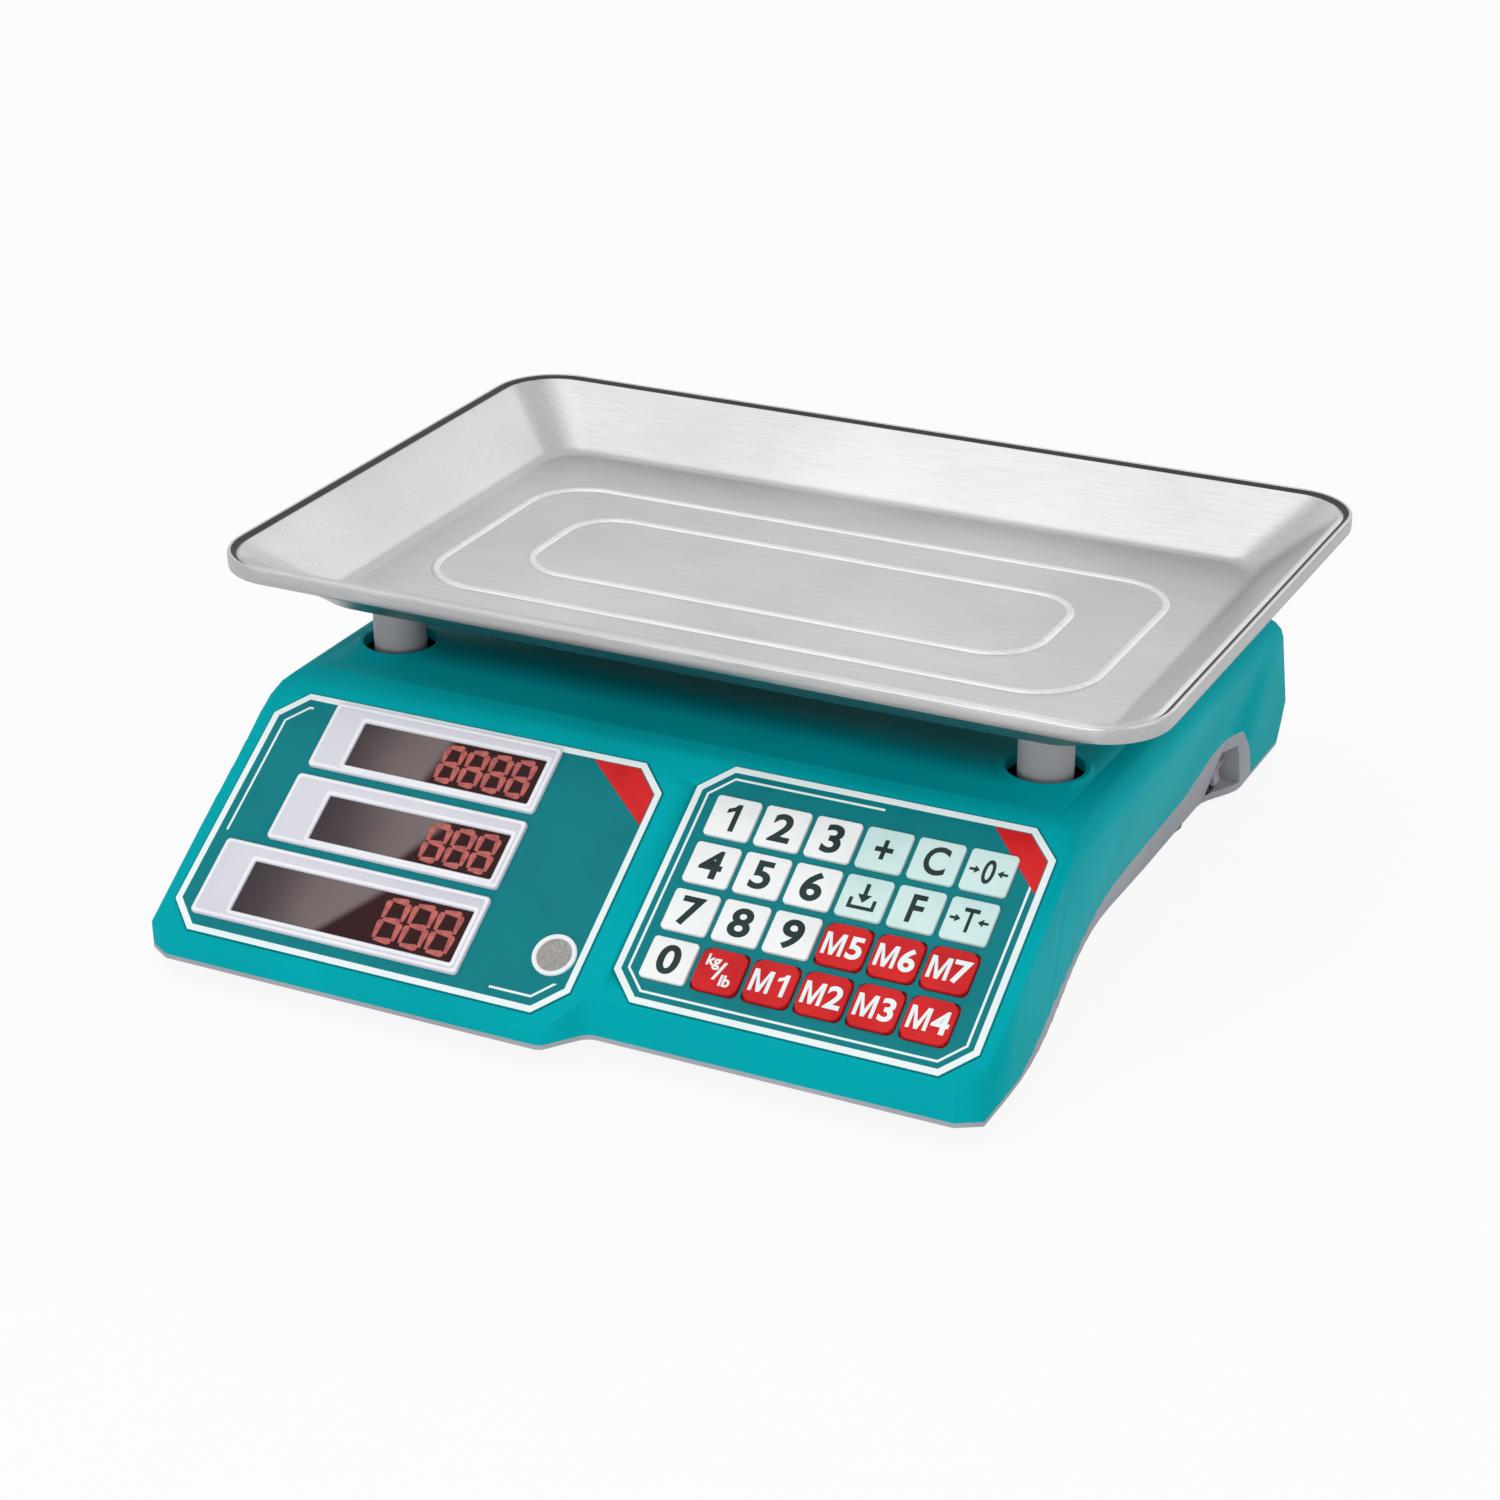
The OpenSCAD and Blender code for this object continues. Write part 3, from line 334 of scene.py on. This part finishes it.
def outline(length, width, radius, z, centre=(0, 0), steps=8):
    """The corner points of a rectangle with rounded corners, or cut ones where steps is 1."""
    bm = bmesh.new()
    verts = bmesh.ops.create_grid(bm, x_segments=1, y_segments=1, size=0.5)["verts"]
    spot = Matrix.Translation((centre[0], centre[1], z)) @ Matrix.Diagonal((length, width, 1, 1))
    bmesh.ops.transform(bm, matrix=spot, verts=verts)
    bmesh.ops.bevel(
        bm,
        geom=verts,
        offset=radius,
        offset_type="OFFSET",
        segments=steps,
        profile=0.5,
        affect="VERTICES",
        material=-1,
    )
    bm.faces.ensure_lookup_table()
    points = [v.co.copy() for v in bm.faces[0].verts]
    bm.free()
    return points


def loft(bm, outlines, closed=False, caps=(True, True)):
    """Runs a skin through outlines of equal counts, capped at its ends or joined to its start."""
    verts = [bm.verts.new(p) for p in outlines[0]]
    edges = [bm.edges.new(pair) for pair in zip(verts, verts[1:] + verts[:1])]
    if caps[0] and not closed:
        bmesh.ops.contextual_create(bm, geom=edges)
    for points in outlines[1:] + (outlines[:1] if closed else []):
        made = set(bmesh.ops.extrude_edge_only(bm, edges=edges)["geom"])
        verts = [next(e.other_vert(v) for e in v.link_edges if e.other_vert(v) in made) for v in verts]
        for vert, point in zip(verts, points):
            vert.co = point
        edges = [bm.edges.get(pair) for pair in zip(verts, verts[1:] + verts[:1])]
    if closed:
        bmesh.ops.remove_doubles(bm, verts=bm.verts, dist=1e-7)
    elif caps[1]:
        bmesh.ops.contextual_create(bm, geom=edges)


def slab(bm, length, width, radius, low, high, soft, centre):
    """A plate with rounded corners whose upper edge is rounded by soft."""
    rings = [outline(length, width, radius, low, centre)]
    for degrees in (0, 30, 60, 90):
        turn = math.radians(degrees)
        inset = soft * (1 - math.cos(turn))
        rise = high - soft + soft * math.sin(turn)
        rings.append(outline(length - 2 * inset, width - 2 * inset, radius - inset * 0.6, rise, centre))
    loft(bm, rings)


def frame_ring(bm, outer, inner, low, high, soft):
    """A flat frame with rounded upper edges; outer and inner are (length, width, radius, centre)."""
    rings = []
    for (length, width, radius, centre), side in ((outer, 1), (inner, -1)):
        half = []
        for inset, rise in ((0, low), (0, high - soft), (0.3, high - 0.3 * soft), (1, high)):
            grow = 2 * soft * inset * side
            half.append(outline(length - grow, width - grow, radius - grow * 0.3, rise, centre))
        rings += half[::side]
    loft(bm, rings, closed=True)


def turned(bm, profile, centre):
    """Spins a profile of (radius, height) about the upright axis at centre."""
    verts = [bm.verts.new((centre[0] + r, centre[1], z)) for r, z in profile]
    edges = [bm.edges.new(pair) for pair in zip(verts, verts[1:])]
    pivot = (centre[0], centre[1], 0)
    bmesh.ops.spin(
        bm, geom=verts + edges, cent=pivot, axis=(0, 0, 1), angle=2 * math.pi, steps=48, use_merge=True
    )
    bmesh.ops.remove_doubles(bm, verts=bm.verts, dist=1e-6)


def plate(bm, points, low, high):
    """A flat plate on an outline of a few points."""
    face = bm.faces.new([bm.verts.new((x, y, low)) for x, y in points])
    made = bmesh.ops.extrude_face_region(bm, geom=[face])["geom"]
    top = [g for g in made if isinstance(g, bmesh.types.BMVert)]
    bmesh.ops.translate(bm, vec=(0, 0, high - low), verts=top)


def piece(name, bm, material, body, axes=None, replaces=(), sharp=38):
    """Finishes a mesh as a piece that rides on a body, placed by axes."""
    bmesh.ops.recalc_face_normals(bm, faces=bm.faces)
    if axes is not None:
        bmesh.ops.transform(bm, matrix=axes, verts=bm.verts)
    mesh = bpy.data.meshes.new(name)
    bm.to_mesh(mesh)
    bm.free()
    mesh.polygons.foreach_set("use_smooth", [True] * len(mesh.polygons))
    mesh.set_sharp_from_angle(angle=math.radians(sharp))
    mesh.materials.append(material)
    made = bpy.data.objects.new(name, mesh)
    scene.collection.objects.link(made)
    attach(made, body)
    if replaces:
        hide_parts(*replaces)


def dress(material, *names):
    """Gives carried-over nodes their finish."""
    for name in names:
        mesh = nodes[name].data
        mesh.materials.clear()
        mesh.materials.append(material)


def extent(name, axes):
    """Lowest and highest corner of a node, along the given axes."""
    inside = axes.inverted()
    points = [inside @ v.co for v in nodes[name].data.vertices]
    return Vector(map(min, *points)), Vector(map(max, *points))


def lettering(text, size, stroke, high, at, squeeze=1.0):
    """A legend as a thin raised mesh, centred on a point."""
    curve = bpy.data.curves.new("legend", "FONT")
    curve.body = text
    curve.size = size
    curve.offset = stroke
    curve.extrude = INK / 2
    curve.align_x = "CENTER"
    curve.align_y = "CENTER"
    curve.resolution_u = 5
    holder = bpy.data.objects.new("legend", curve)
    scene.collection.objects.link(holder)
    mesh = bpy.data.meshes.new_from_object(holder.evaluated_get(bpy.context.evaluated_depsgraph_get()))
    bpy.data.objects.remove(holder)
    bm = bmesh.new()
    bm.from_mesh(mesh)
    bpy.data.meshes.remove(mesh)
    middle = [(min(v.co[i] for v in bm.verts) + max(v.co[i] for v in bm.verts)) / 2 for i in (0, 1)]
    bmesh.ops.translate(bm, vec=(-middle[0], -middle[1], 0), verts=bm.verts)
    spot = Matrix.Translation((at[0], at[1], high)) @ Matrix.Diagonal((squeeze, 1, 1, 1))
    bmesh.ops.transform(bm, matrix=spot, verts=bm.verts)
    return bm


def absorb(bm, other):
    """Adds another bmesh to this one."""
    mesh = bpy.data.meshes.new("part")
    other.to_mesh(mesh)
    other.free()
    bm.from_mesh(mesh)
    bpy.data.meshes.remove(mesh)


def find_front_axes():
    """The front panel's axes: X across, Y up the slope, Z out of it, from the display panel's lower edge."""
    press = next(joint for joint in frame["joints"] if joint["child"] == "key_1")["axis"]
    tilted = Matrix.Rotation(math.atan2(press[1], -press[2]), 4, "X")
    low, _ = extent("display_panel", tilted)
    return tilted @ Matrix.Translation((0, low.y - 0.1 * mm, low.z + 0.7 * mm))


front_axes = find_front_axes()
panel_top = extent("display_panel", front_axes)[1].z


# ---------- tray ----------


def make_tray():
    low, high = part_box("tray")
    centre = ((low.x + high.x) / 2, (low.y + high.y) / 2)
    length, width, corner = high.x - low.x, high.y - low.y, 24 * mm
    lip = 4.6 * mm
    top = high.z - 0.05 * mm
    floor = top - 20.95 * mm
    floor_length, floor_width, floor_corner = 283 * mm, 171 * mm, 15 * mm

    def rim(inset, rise):
        inset *= mm
        return outline(length - 2 * inset, width - 2 * inset, corner - inset, top + rise * mm, centre, 12)

    def wall(share, z):
        lipped = (length - 2 * lip, width - 2 * lip, corner - lip)
        floored = (floor_length, floor_width, floor_corner)
        sizes = [start + (end - start) * share for start, end in zip(lipped, floored)]
        return outline(*sizes, z, centre, 12)

    bm = bmesh.new()
    skirt = [(1.5, -5.9), (0.55, -5.9), (0.1, -5.4), (0, -3.0), (0.02, -1.2), (0.15, -0.5)]
    skirt += [(0.5, -0.08), (0.85, 0.0), (1.2, -0.15)]
    groove = [(1.4, -1.2), (1.9, -1.5), (2.8, -1.6), (3.4, -1.1), (4.6, -0.7)]
    rings = [rim(*r) for r in skirt + groove]
    depth = top - 0.55 * mm - floor
    rings += [wall(i / 10, floor + depth * (1 - i / 10)) for i in range(1, 9)]
    bend = 0.12  # the share of the wall that bends into the floor
    for i in range(6):
        step = i / 5
        share = 1 - bend + 2 * bend * step - bend / 2 * (1 - step) * step
        rings.append(wall(share, floor + depth * bend * (1 - step) ** 2))
    loft(bm, rings, caps=(False, True))
    bmesh.ops.recalc_face_normals(bm, faces=bm.faces)
    flat = max(bm.faces, key=lambda f: f.calc_area())
    if flat.normal.z < 0:
        bmesh.ops.reverse_faces(bm, faces=bm.faces)
    bmesh.ops.solidify(bm, geom=bm.faces, thickness=0.85 * mm)
    piece("tray_pan", bm, steel, "tray", replaces=["tray"], sharp=50)

    bm = bmesh.new()
    # A dark strip in the rim's groove, painting its shade and dark reflection.
    painted_groove_shade = ((1.22, -0.3), (1.42, -1.15), (1.9, -1.45), (2.7, -1.52), (3.15, -1.4))
    loft(bm, [rim(*r) for r in painted_groove_shade], closed=True)
    piece("tray_rim_painted_groove_shade", bm, painted_groove_shade_dark, "tray")

    # The floor ridges, in a lighter steel that paints a highlight along them.
    bm = bmesh.new()
    bead_width = 3.4
    bead = ((0, -0.3), (0.05, 0.1), (0.7, 0.5), (1.3, 0.74), (bead_width / 2, 0.8))
    bead += tuple((bead_width - inset, rise) for inset, rise in bead[-2::-1])
    ridges = ((251, 108, 24), (197, 60, 20))  # length, width and corner radius of each
    for long, wide, radius in ridges:
        rings = []
        for inset, rise in bead:
            sizes = [size * mm for size in (long - 2 * inset, wide - 2 * inset, radius - inset)]
            rings.append(outline(*sizes, floor + rise * mm, centre, 10))
        loft(bm, rings, closed=True)
    piece("tray_floor_ridges", bm, ridge_highlight_steel, "tray", sharp=60)


make_tray()


# ---------- keys ----------


# The legends that aren't in a key's own name, and the outlines of a 1 and an M in millimetres.
LEGENDS = {"add": "+", "clear": "C", "function": "F"}
ONE = ((0.1, -5.1), (0.1, 2.5), (-2.5, 1.3), (-2.5, 2.9), (-0.6, 3.8), (0.5, 5.1), (1.9, 5.1), (1.9, -5.1))
EM = (
    (-4.4, -5.1), (-4.4, 5.1), (-2.4, 5.1), (0, -1.9), (2.4, 5.1), (4.4, 5.1),
    (4.4, -5.1), (2.8, -5.1), (2.8, 2.6), (0.8, -5.1), (-0.8, -5.1), (-2.8, 2.6), (-2.8, -5.1),
)


def figure(bm, shape, at, scale, face):
    """A letter or figure with straight strokes, from its own outline in millimetres."""
    plate(bm, [(at[0] + x * scale * mm, at[1] + y * scale * mm) for x, y in shape], face, face + INK)


def numeral(text, size, stroke, face, at, squeeze):
    """A numeral; a 1 has a flag, and its outline is drawn for a size of 14 mm."""
    if text != "1":
        return lettering(text, size, stroke, face, at, squeeze)
    bm = bmesh.new()
    figure(bm, ONE, at, size / (14 * mm), face)
    return bm


def make_key(name):
    """A key with its cap, the brim that holds it under the panel, its plunger and its legend."""
    low, high = extent(name, front_axes)
    u, v = (low.x + high.x) / 2, (low.y + high.y) / 2
    brim, edge = 0.6 * mm, 0.1 * mm
    length, width = high.x - low.x, high.y - low.y
    brim_low, brim_high, top = low.z + 1.5 * mm, low.z + 2.9 * mm, high.z
    legend = name.removeprefix("key_")
    red = legend.startswith("m") or legend == "unit"
    digit = legend.isdigit()
    corner = 3.4 * mm if red else 1.3 * mm
    bm = bmesh.new()
    slab(bm, length - 2 * brim, width - 2 * brim, corner, brim_high, top, 0.35 * mm, (u, v))
    slab(bm, length, width, 2 * mm, brim_low, brim_high, edge, (u, v))
    slab(bm, 6 * mm, 6 * mm, 2.9 * mm, low.z, brim_low + edge, edge, (u, v))
    finish = key_red if red else key_white if digit else key_pale
    piece(name + "_cap", bm, finish, name, front_axes, [name])
    ink = ink_white if red else ink_dark
    face = top + 0.02 * mm
    if digit:
        bm = numeral(legend, 14 * mm, 0.4 * mm, face, (u, v), 1.1)
    elif legend == "unit":
        bm = lettering("kg", 5.4 * mm, 0.16 * mm, face, (u - 3 * mm, v + 2.7 * mm))
        absorb(bm, lettering("lb", 5.4 * mm, 0.16 * mm, face, (u + 3 * mm, v - 3 * mm)))
        absorb(bm, lettering("/", 9 * mm, 0.1 * mm, face, (u, v), 1.3))
    elif red:
        bm = numeral(legend[1:], 10.8 * mm, 0.3 * mm, face, (u + 3.9 * mm, v), 1.05)
        figure(bm, EM, (u - 3.2 * mm, v), 0.77, face)
    elif legend in LEGENDS:
        bm = lettering(LEGENDS[legend], 14 * mm, 0.3 * mm, face, (u, v), 0.85)
    else:
        bm = pictogram(legend, u, v, face)
    piece(name + "_legend", bm, ink, name, front_axes, sharp=20)


def pictogram(legend, u, v, face):
    """Arrows to a centre mark: to nought for zero, to a T for tare, and down to a tray for memory."""
    bm = bmesh.new()
    if legend == "save":
        for shape in (
            ((-0.7, 5), (-0.7, 1), (0.7, 1), (0.7, 5)),
            ((-2.4, 1), (0, -2), (2.4, 1)),
            (
                (-4.6, -0.5), (-4.6, -4.4), (4.6, -4.4), (4.6, -0.5),
                (3.4, -0.5), (3.4, -3.2), (-3.4, -3.2), (-3.4, -0.5),
            ),
        ):
            figure(bm, shape, (u, v), 1, face)
        return bm
    shaft = ((6.4, 0.45), (6.4, -0.45), (4.6, -0.45), (4.6, 0.45))
    tip = ((4.7, 1.4), (4.7, -1.4), (2.9, 0))
    for side in (-1, 1):
        for shape in (shaft, tip):
            figure(bm, [(side * x, y) for x, y in shape], (u, v), 1, face)
    absorb(bm, lettering("0" if legend == "zero" else "T", 12 * mm, 0.2 * mm, face, (u, v), 0.7))
    return bm


for key in (n for n in nodes if n.startswith("key_") and n != "key_domes"):
    make_key(key)


# ---------- front panels ----------


# How much of a panel's corner is cut, and how much less of it for each unit that an outline lies further in.
CORNER_CUT, CUT_LOSS = 10 * mm, 0.586


def panel_line(box, inset, thick):
    """A band of white ink along the inside of a panel with cut corners."""
    left, right, bottom, top = box
    centre = ((left + right) / 2, (bottom + top) / 2)
    low, high = panel_top, panel_top + INK
    rings = []
    for edge, z in ((inset, low), (inset, high), (inset + thick, high), (inset + thick, low)):
        sizes = (right - left - 2 * edge, top - bottom - 2 * edge, CORNER_CUT - CUT_LOSS * edge)
        rings.append(outline(*sizes, z, centre, 1))
    bm = bmesh.new()
    loft(bm, rings, closed=True)
    return bm


def trim(bm, point, normal):
    """Cuts away what lies beyond a plane, and closes the cut."""
    whole = bm.verts[:] + bm.edges[:] + bm.faces[:]
    cut = bmesh.ops.bisect_plane(bm, geom=whole, plane_co=point, plane_no=normal, clear_outer=True)
    edges = [g for g in cut["geom_cut"] if isinstance(g, bmesh.types.BMEdge)]
    bmesh.ops.holes_fill(bm, edges=edges, sides=0)


def panel_box(name):
    low, high = extent(name, front_axes)
    return low.x, high.x, low.y, high.y


def make_panel_lines():
    display, keypad = panel_box("display_panel"), panel_box("keypad_panel")
    for name, box in (("display_border", display), ("keypad_border", keypad)):
        piece(name, panel_line(box, 0.4 * mm, 2.2 * mm), ink_white, "body", front_axes)

    # The keypad's thin line stops short of its upper right corner.
    stop = Vector((82 * mm, 94 * mm, 0))
    bm = panel_line(keypad, 4.6 * mm, 0.8 * mm)
    rest = bm.copy()
    trim(bm, stop, (1, 0, 0))
    trim(rest, stop, (-1, 0, 0))
    trim(rest, stop, (0, 1, 0))
    absorb(bm, rest)
    piece("keypad_line", bm, ink_white, "body", front_axes)

    # The display's thin line shows at its upper left and its lower right corner only.
    bm = panel_line(display, 5.4 * mm, 0.8 * mm)
    corner = bm.copy()
    upper_left, lower_right = Vector((-128 * mm, 39 * mm, 0)), Vector((-20 * mm, 12 * mm, 0))
    trim(bm, upper_left, (1, 0, 0))
    trim(bm, upper_left, (0, -1, 0))
    trim(corner, lower_right, (-1, 0, 0))
    trim(corner, lower_right, (0, 1, 0))
    absorb(bm, corner)
    piece("display_line", bm, ink_white, "body", front_axes)

    edge, cut = 2.9 * mm, 8.4 * mm
    for name, box, run, drop in (("display_flash", display, 17, 12), ("keypad_flash", keypad, 12, 12)):
        right, top = box[1] - edge, box[3] - edge
        start, end = right - cut, top - cut
        corners = [(start - run * mm, top), (right, end - drop * mm), (right, end), (start, top)]
        bm = bmesh.new()
        plate(bm, corners, panel_top, panel_top + INK + 0.02 * mm)
        piece(name, bm, flash_red, "body", front_axes)


make_panel_lines()


# ---------- displays ----------


def eight(bm, u, v, width, height, stroke, face):
    """A seven-segment figure with all its segments lit."""
    half = height / 2
    gap, proud = 0.35 * stroke, 0.05 * mm
    spots = [(0, half, 0), (0, 0, 0), (0, -half, 0)]
    spots += [(side * width / 2, level * half / 2, 90) for side in (-1, 1) for level in (-1, 1)]
    for x, y, turn in spots:
        span = (width if turn == 0 else half) - gap
        reach = stroke / 2 / math.cos(math.radians(30))
        made = bmesh.ops.create_circle(bm, cap_ends=True, segments=6, radius=reach)["verts"]
        for vert in made:
            vert.co.x += math.copysign((span - stroke) / 2, vert.co.x)
        faces = list({f for vert in made for f in vert.link_faces})
        raised = bmesh.ops.extrude_face_region(bm, geom=faces)["geom"]
        top = [g for g in raised if isinstance(g, bmesh.types.BMVert)]
        bmesh.ops.translate(bm, vec=(0, 0, proud), verts=top)
        spot = Matrix.Translation((u + x, v + y, face)) @ Matrix.Rotation(math.radians(turn), 4, "Z")
        bmesh.ops.transform(bm, matrix=spot, verts=list(set(made) | set(top)))


def digits(bm, right, middle, count, pitch, width, height, face):
    """A row of figures that ends at right."""
    stroke = 2.1 * mm
    for i in range(count):
        eight(bm, right - width / 2 - i * pitch, middle, width - stroke, height - stroke, stroke, face)


# Per window: count, pitch, width and height of its figures, in millimetres.
DIGITS = {"weight": (4, 8.9, 8.2, 15.0), "price": (3, 9.1, 8.4, 15.2), "amount": (3, 9.8, 9.2, 17.0)}


def make_display(name):
    low, high = extent("bezel_" + name, front_axes)
    pane_low, pane_high = extent("window_" + name, front_axes)
    centre = ((low.x + high.x) / 2, (low.y + high.y) / 2)
    gap = 0.2 * mm
    middle = ((pane_low.x + pane_high.x) / 2, (pane_low.y + pane_high.y) / 2)
    outer = (high.x - low.x, high.y - low.y, 1.6 * mm, centre)
    inner = (pane_high.x - pane_low.x + gap, pane_high.y - pane_low.y + gap, 0.6 * mm, middle)
    bm = bmesh.new()
    frame_ring(bm, outer, inner, low.z, high.z, 0.4 * mm)
    piece("bezel_frame_" + name, bm, lilac, "body", front_axes, ["bezel_" + name])
    bm = bmesh.new()
    seat, top = high.z - 0.1 * mm, high.z + 0.03 * mm
    for (length, width, _, spot), far, near in ((outer, -0.5, -1.4), (inner, 1.5, 0.45)):
        rings = []
        for grow, z in ((far, seat), (far, top), (near, top), (near, seat)):
            rings.append(outline(length + 2 * grow * mm, width + 2 * grow * mm, 1.1 * mm, z, spot))
        loft(bm, rings, closed=True)
    piece("bezel_rim_" + name, bm, lilac_rim, "body", front_axes)
    dress(filters[name], "window_" + name)
    bm = bmesh.new()
    count, pitch, wide, tall = DIGITS[name]
    digits(bm, pane_high.x - 2.2 * mm, middle[1], count, pitch * mm, wide * mm, tall * mm, pane_high.z)
    piece("digits_" + name, bm, segments, "body", front_axes, sharp=20)


for display in DIGITS:
    make_display(display)


def make_level():
    low, high = extent("level_vial", front_axes)
    centre = ((low.x + high.x) / 2, (low.y + high.y) / 2)
    radius = (high.x - low.x) / 2
    seat, top = panel_top, high.z
    bm = bmesh.new()
    crest = ((0, 0.4), (0.15, 0.1), (0.5, 0), (1.2, 0), (1.5, 0.15), (1.6, 0.4))
    profile = [(radius - 1.9 * mm, seat), (radius, seat)]
    profile += [(radius - inset * mm, top - drop * mm) for inset, drop in crest]
    turned(bm, profile + [(radius - 1.9 * mm, seat)], centre)
    piece("level_ring", bm, lilac_rim, "body", front_axes, ["level_vial"])
    bm = bmesh.new()
    disc = radius - 1.5 * mm
    stem = disc - 0.6 * mm
    profile = [(0, low.z), (stem, low.z), (stem, seat), (disc, seat)]
    profile += [(disc, top - 0.5 * mm), (disc * 0.6, top - 0.38 * mm), (0, top - 0.3 * mm)]
    turned(bm, profile, centre)
    piece("level_disc", bm, glass_disc, "body", front_axes)


make_level()


# Where each row of figures in the rear window ends, in millimetres, and how many it has.
REAR_ROWS = ((-28, 4), (22, 4), (76, 5))


def make_rear_display():
    low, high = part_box("rear_panel")
    tip = math.atan2(high.z - low.z, high.y - low.y)
    turn = Matrix.Rotation(math.pi, 4, "Z") @ Matrix.Rotation(tip, 4, "X")
    low, high = extent("rear_window", turn)
    bm = bmesh.new()
    middle = (low.y + high.y) / 2
    for right, count in REAR_ROWS:
        digits(bm, right * mm, middle, count, 9.4 * mm, 8.2 * mm, 13.6 * mm, high.z)
    piece("digits_rear", bm, segments, "body", turn, sharp=20)
    dress(filters["rear"], "rear_window")


make_rear_display()


# ---------- posts, feet and small parts ----------


def make_casing(name, node, material):
    """A joined copy of a carried-over node, so that its curved walls shade smoothly."""
    bm = bmesh.new()
    bm.from_mesh(nodes[node].data)
    bmesh.ops.remove_doubles(bm, verts=bm.verts, dist=2e-6)
    bmesh.ops.dissolve_limit(bm, angle_limit=math.radians(0.6), verts=bm.verts, edges=bm.edges)
    piece(name, bm, material, "body", replaces=[node], sharp=34)


def make_posts():
    low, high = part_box("platform_posts")
    # In millimetres: radii with heights above the post's foot, then with depths below its head.
    radius, collar = 9.2, 12.2
    foot = [(0, 0), (collar, 0), (collar, 2.6), (collar - 0.4, 3), (radius + 0.6, 3), (radius, 3.8)]
    head = [(radius, 3.6), (radius - 0.5, 3.3), (radius - 0.5, 2.9), (radius, 2.6)]
    head += [(radius, 0.5), (radius - 0.5, 0), (0, 0)]
    profile = [(r * mm, low.z + rise * mm) for r, rise in foot]
    profile += [(r * mm, high.z - drop * mm) for r, drop in head]
    bm = bmesh.new()
    for x in (low.x + collar * mm, high.x - collar * mm):
        for y in (low.y + collar * mm, high.y - collar * mm):
            turned(bm, profile, (x, y))
    piece("tray_posts", bm, post_grey, "platform", replaces=["platform_posts"])


def make_feet():
    for name in (n for n in nodes if n.startswith("foot_")):
        low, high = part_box(name)
        centre = ((low.x + high.x) / 2, (low.y + high.y) / 2)
        radius = (high.x - low.x) / 2 / mm
        # In millimetres: radii and heights of the ribbed pad, and then of its stud.
        profile = [(0, 0.6), (radius - 5.5, 0.6), (radius - 5, 0), (radius - 0.8, 0), (radius, 0.8)]
        for z in (1.6, 2.8, 4.0):
            profile += [(radius, z), (radius - 0.5, z + 0.25), (radius, z + 0.5)]
        profile += [(radius, 5.0), (radius - 0.6, 5.7), (radius - 2, 6)]
        profile += [(3, 6), (3, 20.6), (2.6, 21), (0, 21)]
        bm = bmesh.new()
        turned(bm, [(r * mm, low.z + z * mm) for r, z in profile], centre)
        piece("levelling_" + name, bm, foot_rubber, name, replaces=[name])


make_posts()
make_feet()
make_casing("teal_casing", "upper_housing", teal)
make_casing("base_casing", "base_pan", base_grey)
dress(base_grey, "battery_door")
dress(film_teal, "display_panel", "keypad_panel", "rear_panel")
dress(cast, "platform_spider")
dress(cell_metal, "load_cell")
dress(zinc, "platform_bolts", "cell_bolts", "housing_screws")
dress(circuit, "display_board", "keypad_board", "rear_board", "main_board")
dress(dome_rubber, "key_domes")
dress(iron, "transformer")
dress(battery_case, "battery")
dress(black, "power_switch", "mains_inlet")
dress(rocker_grey, "power_rocker")
dress(filters["rear"], "digit_modules")


# ---------- floor, world and lamps ----------


def make_floor():
    finish = Finish("floor_white")
    tone = finish.mix(paint(238, 238, 238), paint(243, 243, 243), finish.noise(30.0, 2.0))
    plain = finish.node("ShaderNodeBsdfDiffuse", {}, {"Color": tone})
    glow = finish.node("ShaderNodeEmission", {}, {"Color": WHITE, "Strength": 1.0})
    mixed = finish.node("ShaderNodeMixShader", {}, {0: finish.plain_ray() * 0.9, 1: plain, 2: glow})
    finish.node("ShaderNodeOutputMaterial", {}, {"Surface": mixed})
    bm = bmesh.new()
    bmesh.ops.create_grid(bm, x_segments=1, y_segments=1, size=12.0)
    mesh = bpy.data.meshes.new("floor")
    bm.to_mesh(mesh)
    bm.free()
    mesh.materials.append(finish.result)
    floor = bpy.data.objects.new("floor", mesh)
    floor.location.z = -0.2 * mm
    scene.collection.objects.link(floor)


def make_world():
    finish = Finish("studio", world=True)
    soft = finish.node("ShaderNodeBackground", {}, {"Color": WHITE, "Strength": 0.5})
    white = finish.node("ShaderNodeBackground", {}, {"Color": WHITE, "Strength": 1.0})
    mixed = finish.node("ShaderNodeMixShader", {}, {0: finish.plain_ray(), 1: soft, 2: white})
    finish.node("ShaderNodeOutputWorld", {}, {"Surface": mixed})
    scene.world = finish.result


# Each lamp's name, its place, its aim and its size in metres, and its power in watts.
LAMPS = (
    ("key_lamp", (-0.45, -0.7, 1.9), (0, -0.05, 0.05), (2.0, 2.0), 13.0),
    ("low_lamp", (0.0, -2.0, 0.35), (0, -0.1, 0.04), (2.0, 0.6), 10.0),
    ("back_lamp", (-1.1, 2.0, 1.1), (0, 0, 0.1), (2.0, 1.6), 2.6),
    ("wall_lamp", (1.0, 2.1, 1.25), (0, 0, 0.1), (1.5, 1.6), 8.0),
    ("side_lamp", (1.7, -0.1, 0.85), (0, 0, 0.06), (1.8, 1.4), 5.0),
)


def make_lamps():
    for name, place, aim, size, power in LAMPS:
        light = bpy.data.lights.new(name, "AREA")
        light.shape = "RECTANGLE"
        light.size, light.size_y = size
        light.energy = power
        lamp = bpy.data.objects.new(name, light)
        lamp.location = place
        lamp.rotation_euler = (Vector(aim) - Vector(place)).to_track_quat("-Z", "Y").to_euler()
        scene.collection.objects.link(lamp)


make_floor()
make_world()
make_lamps()
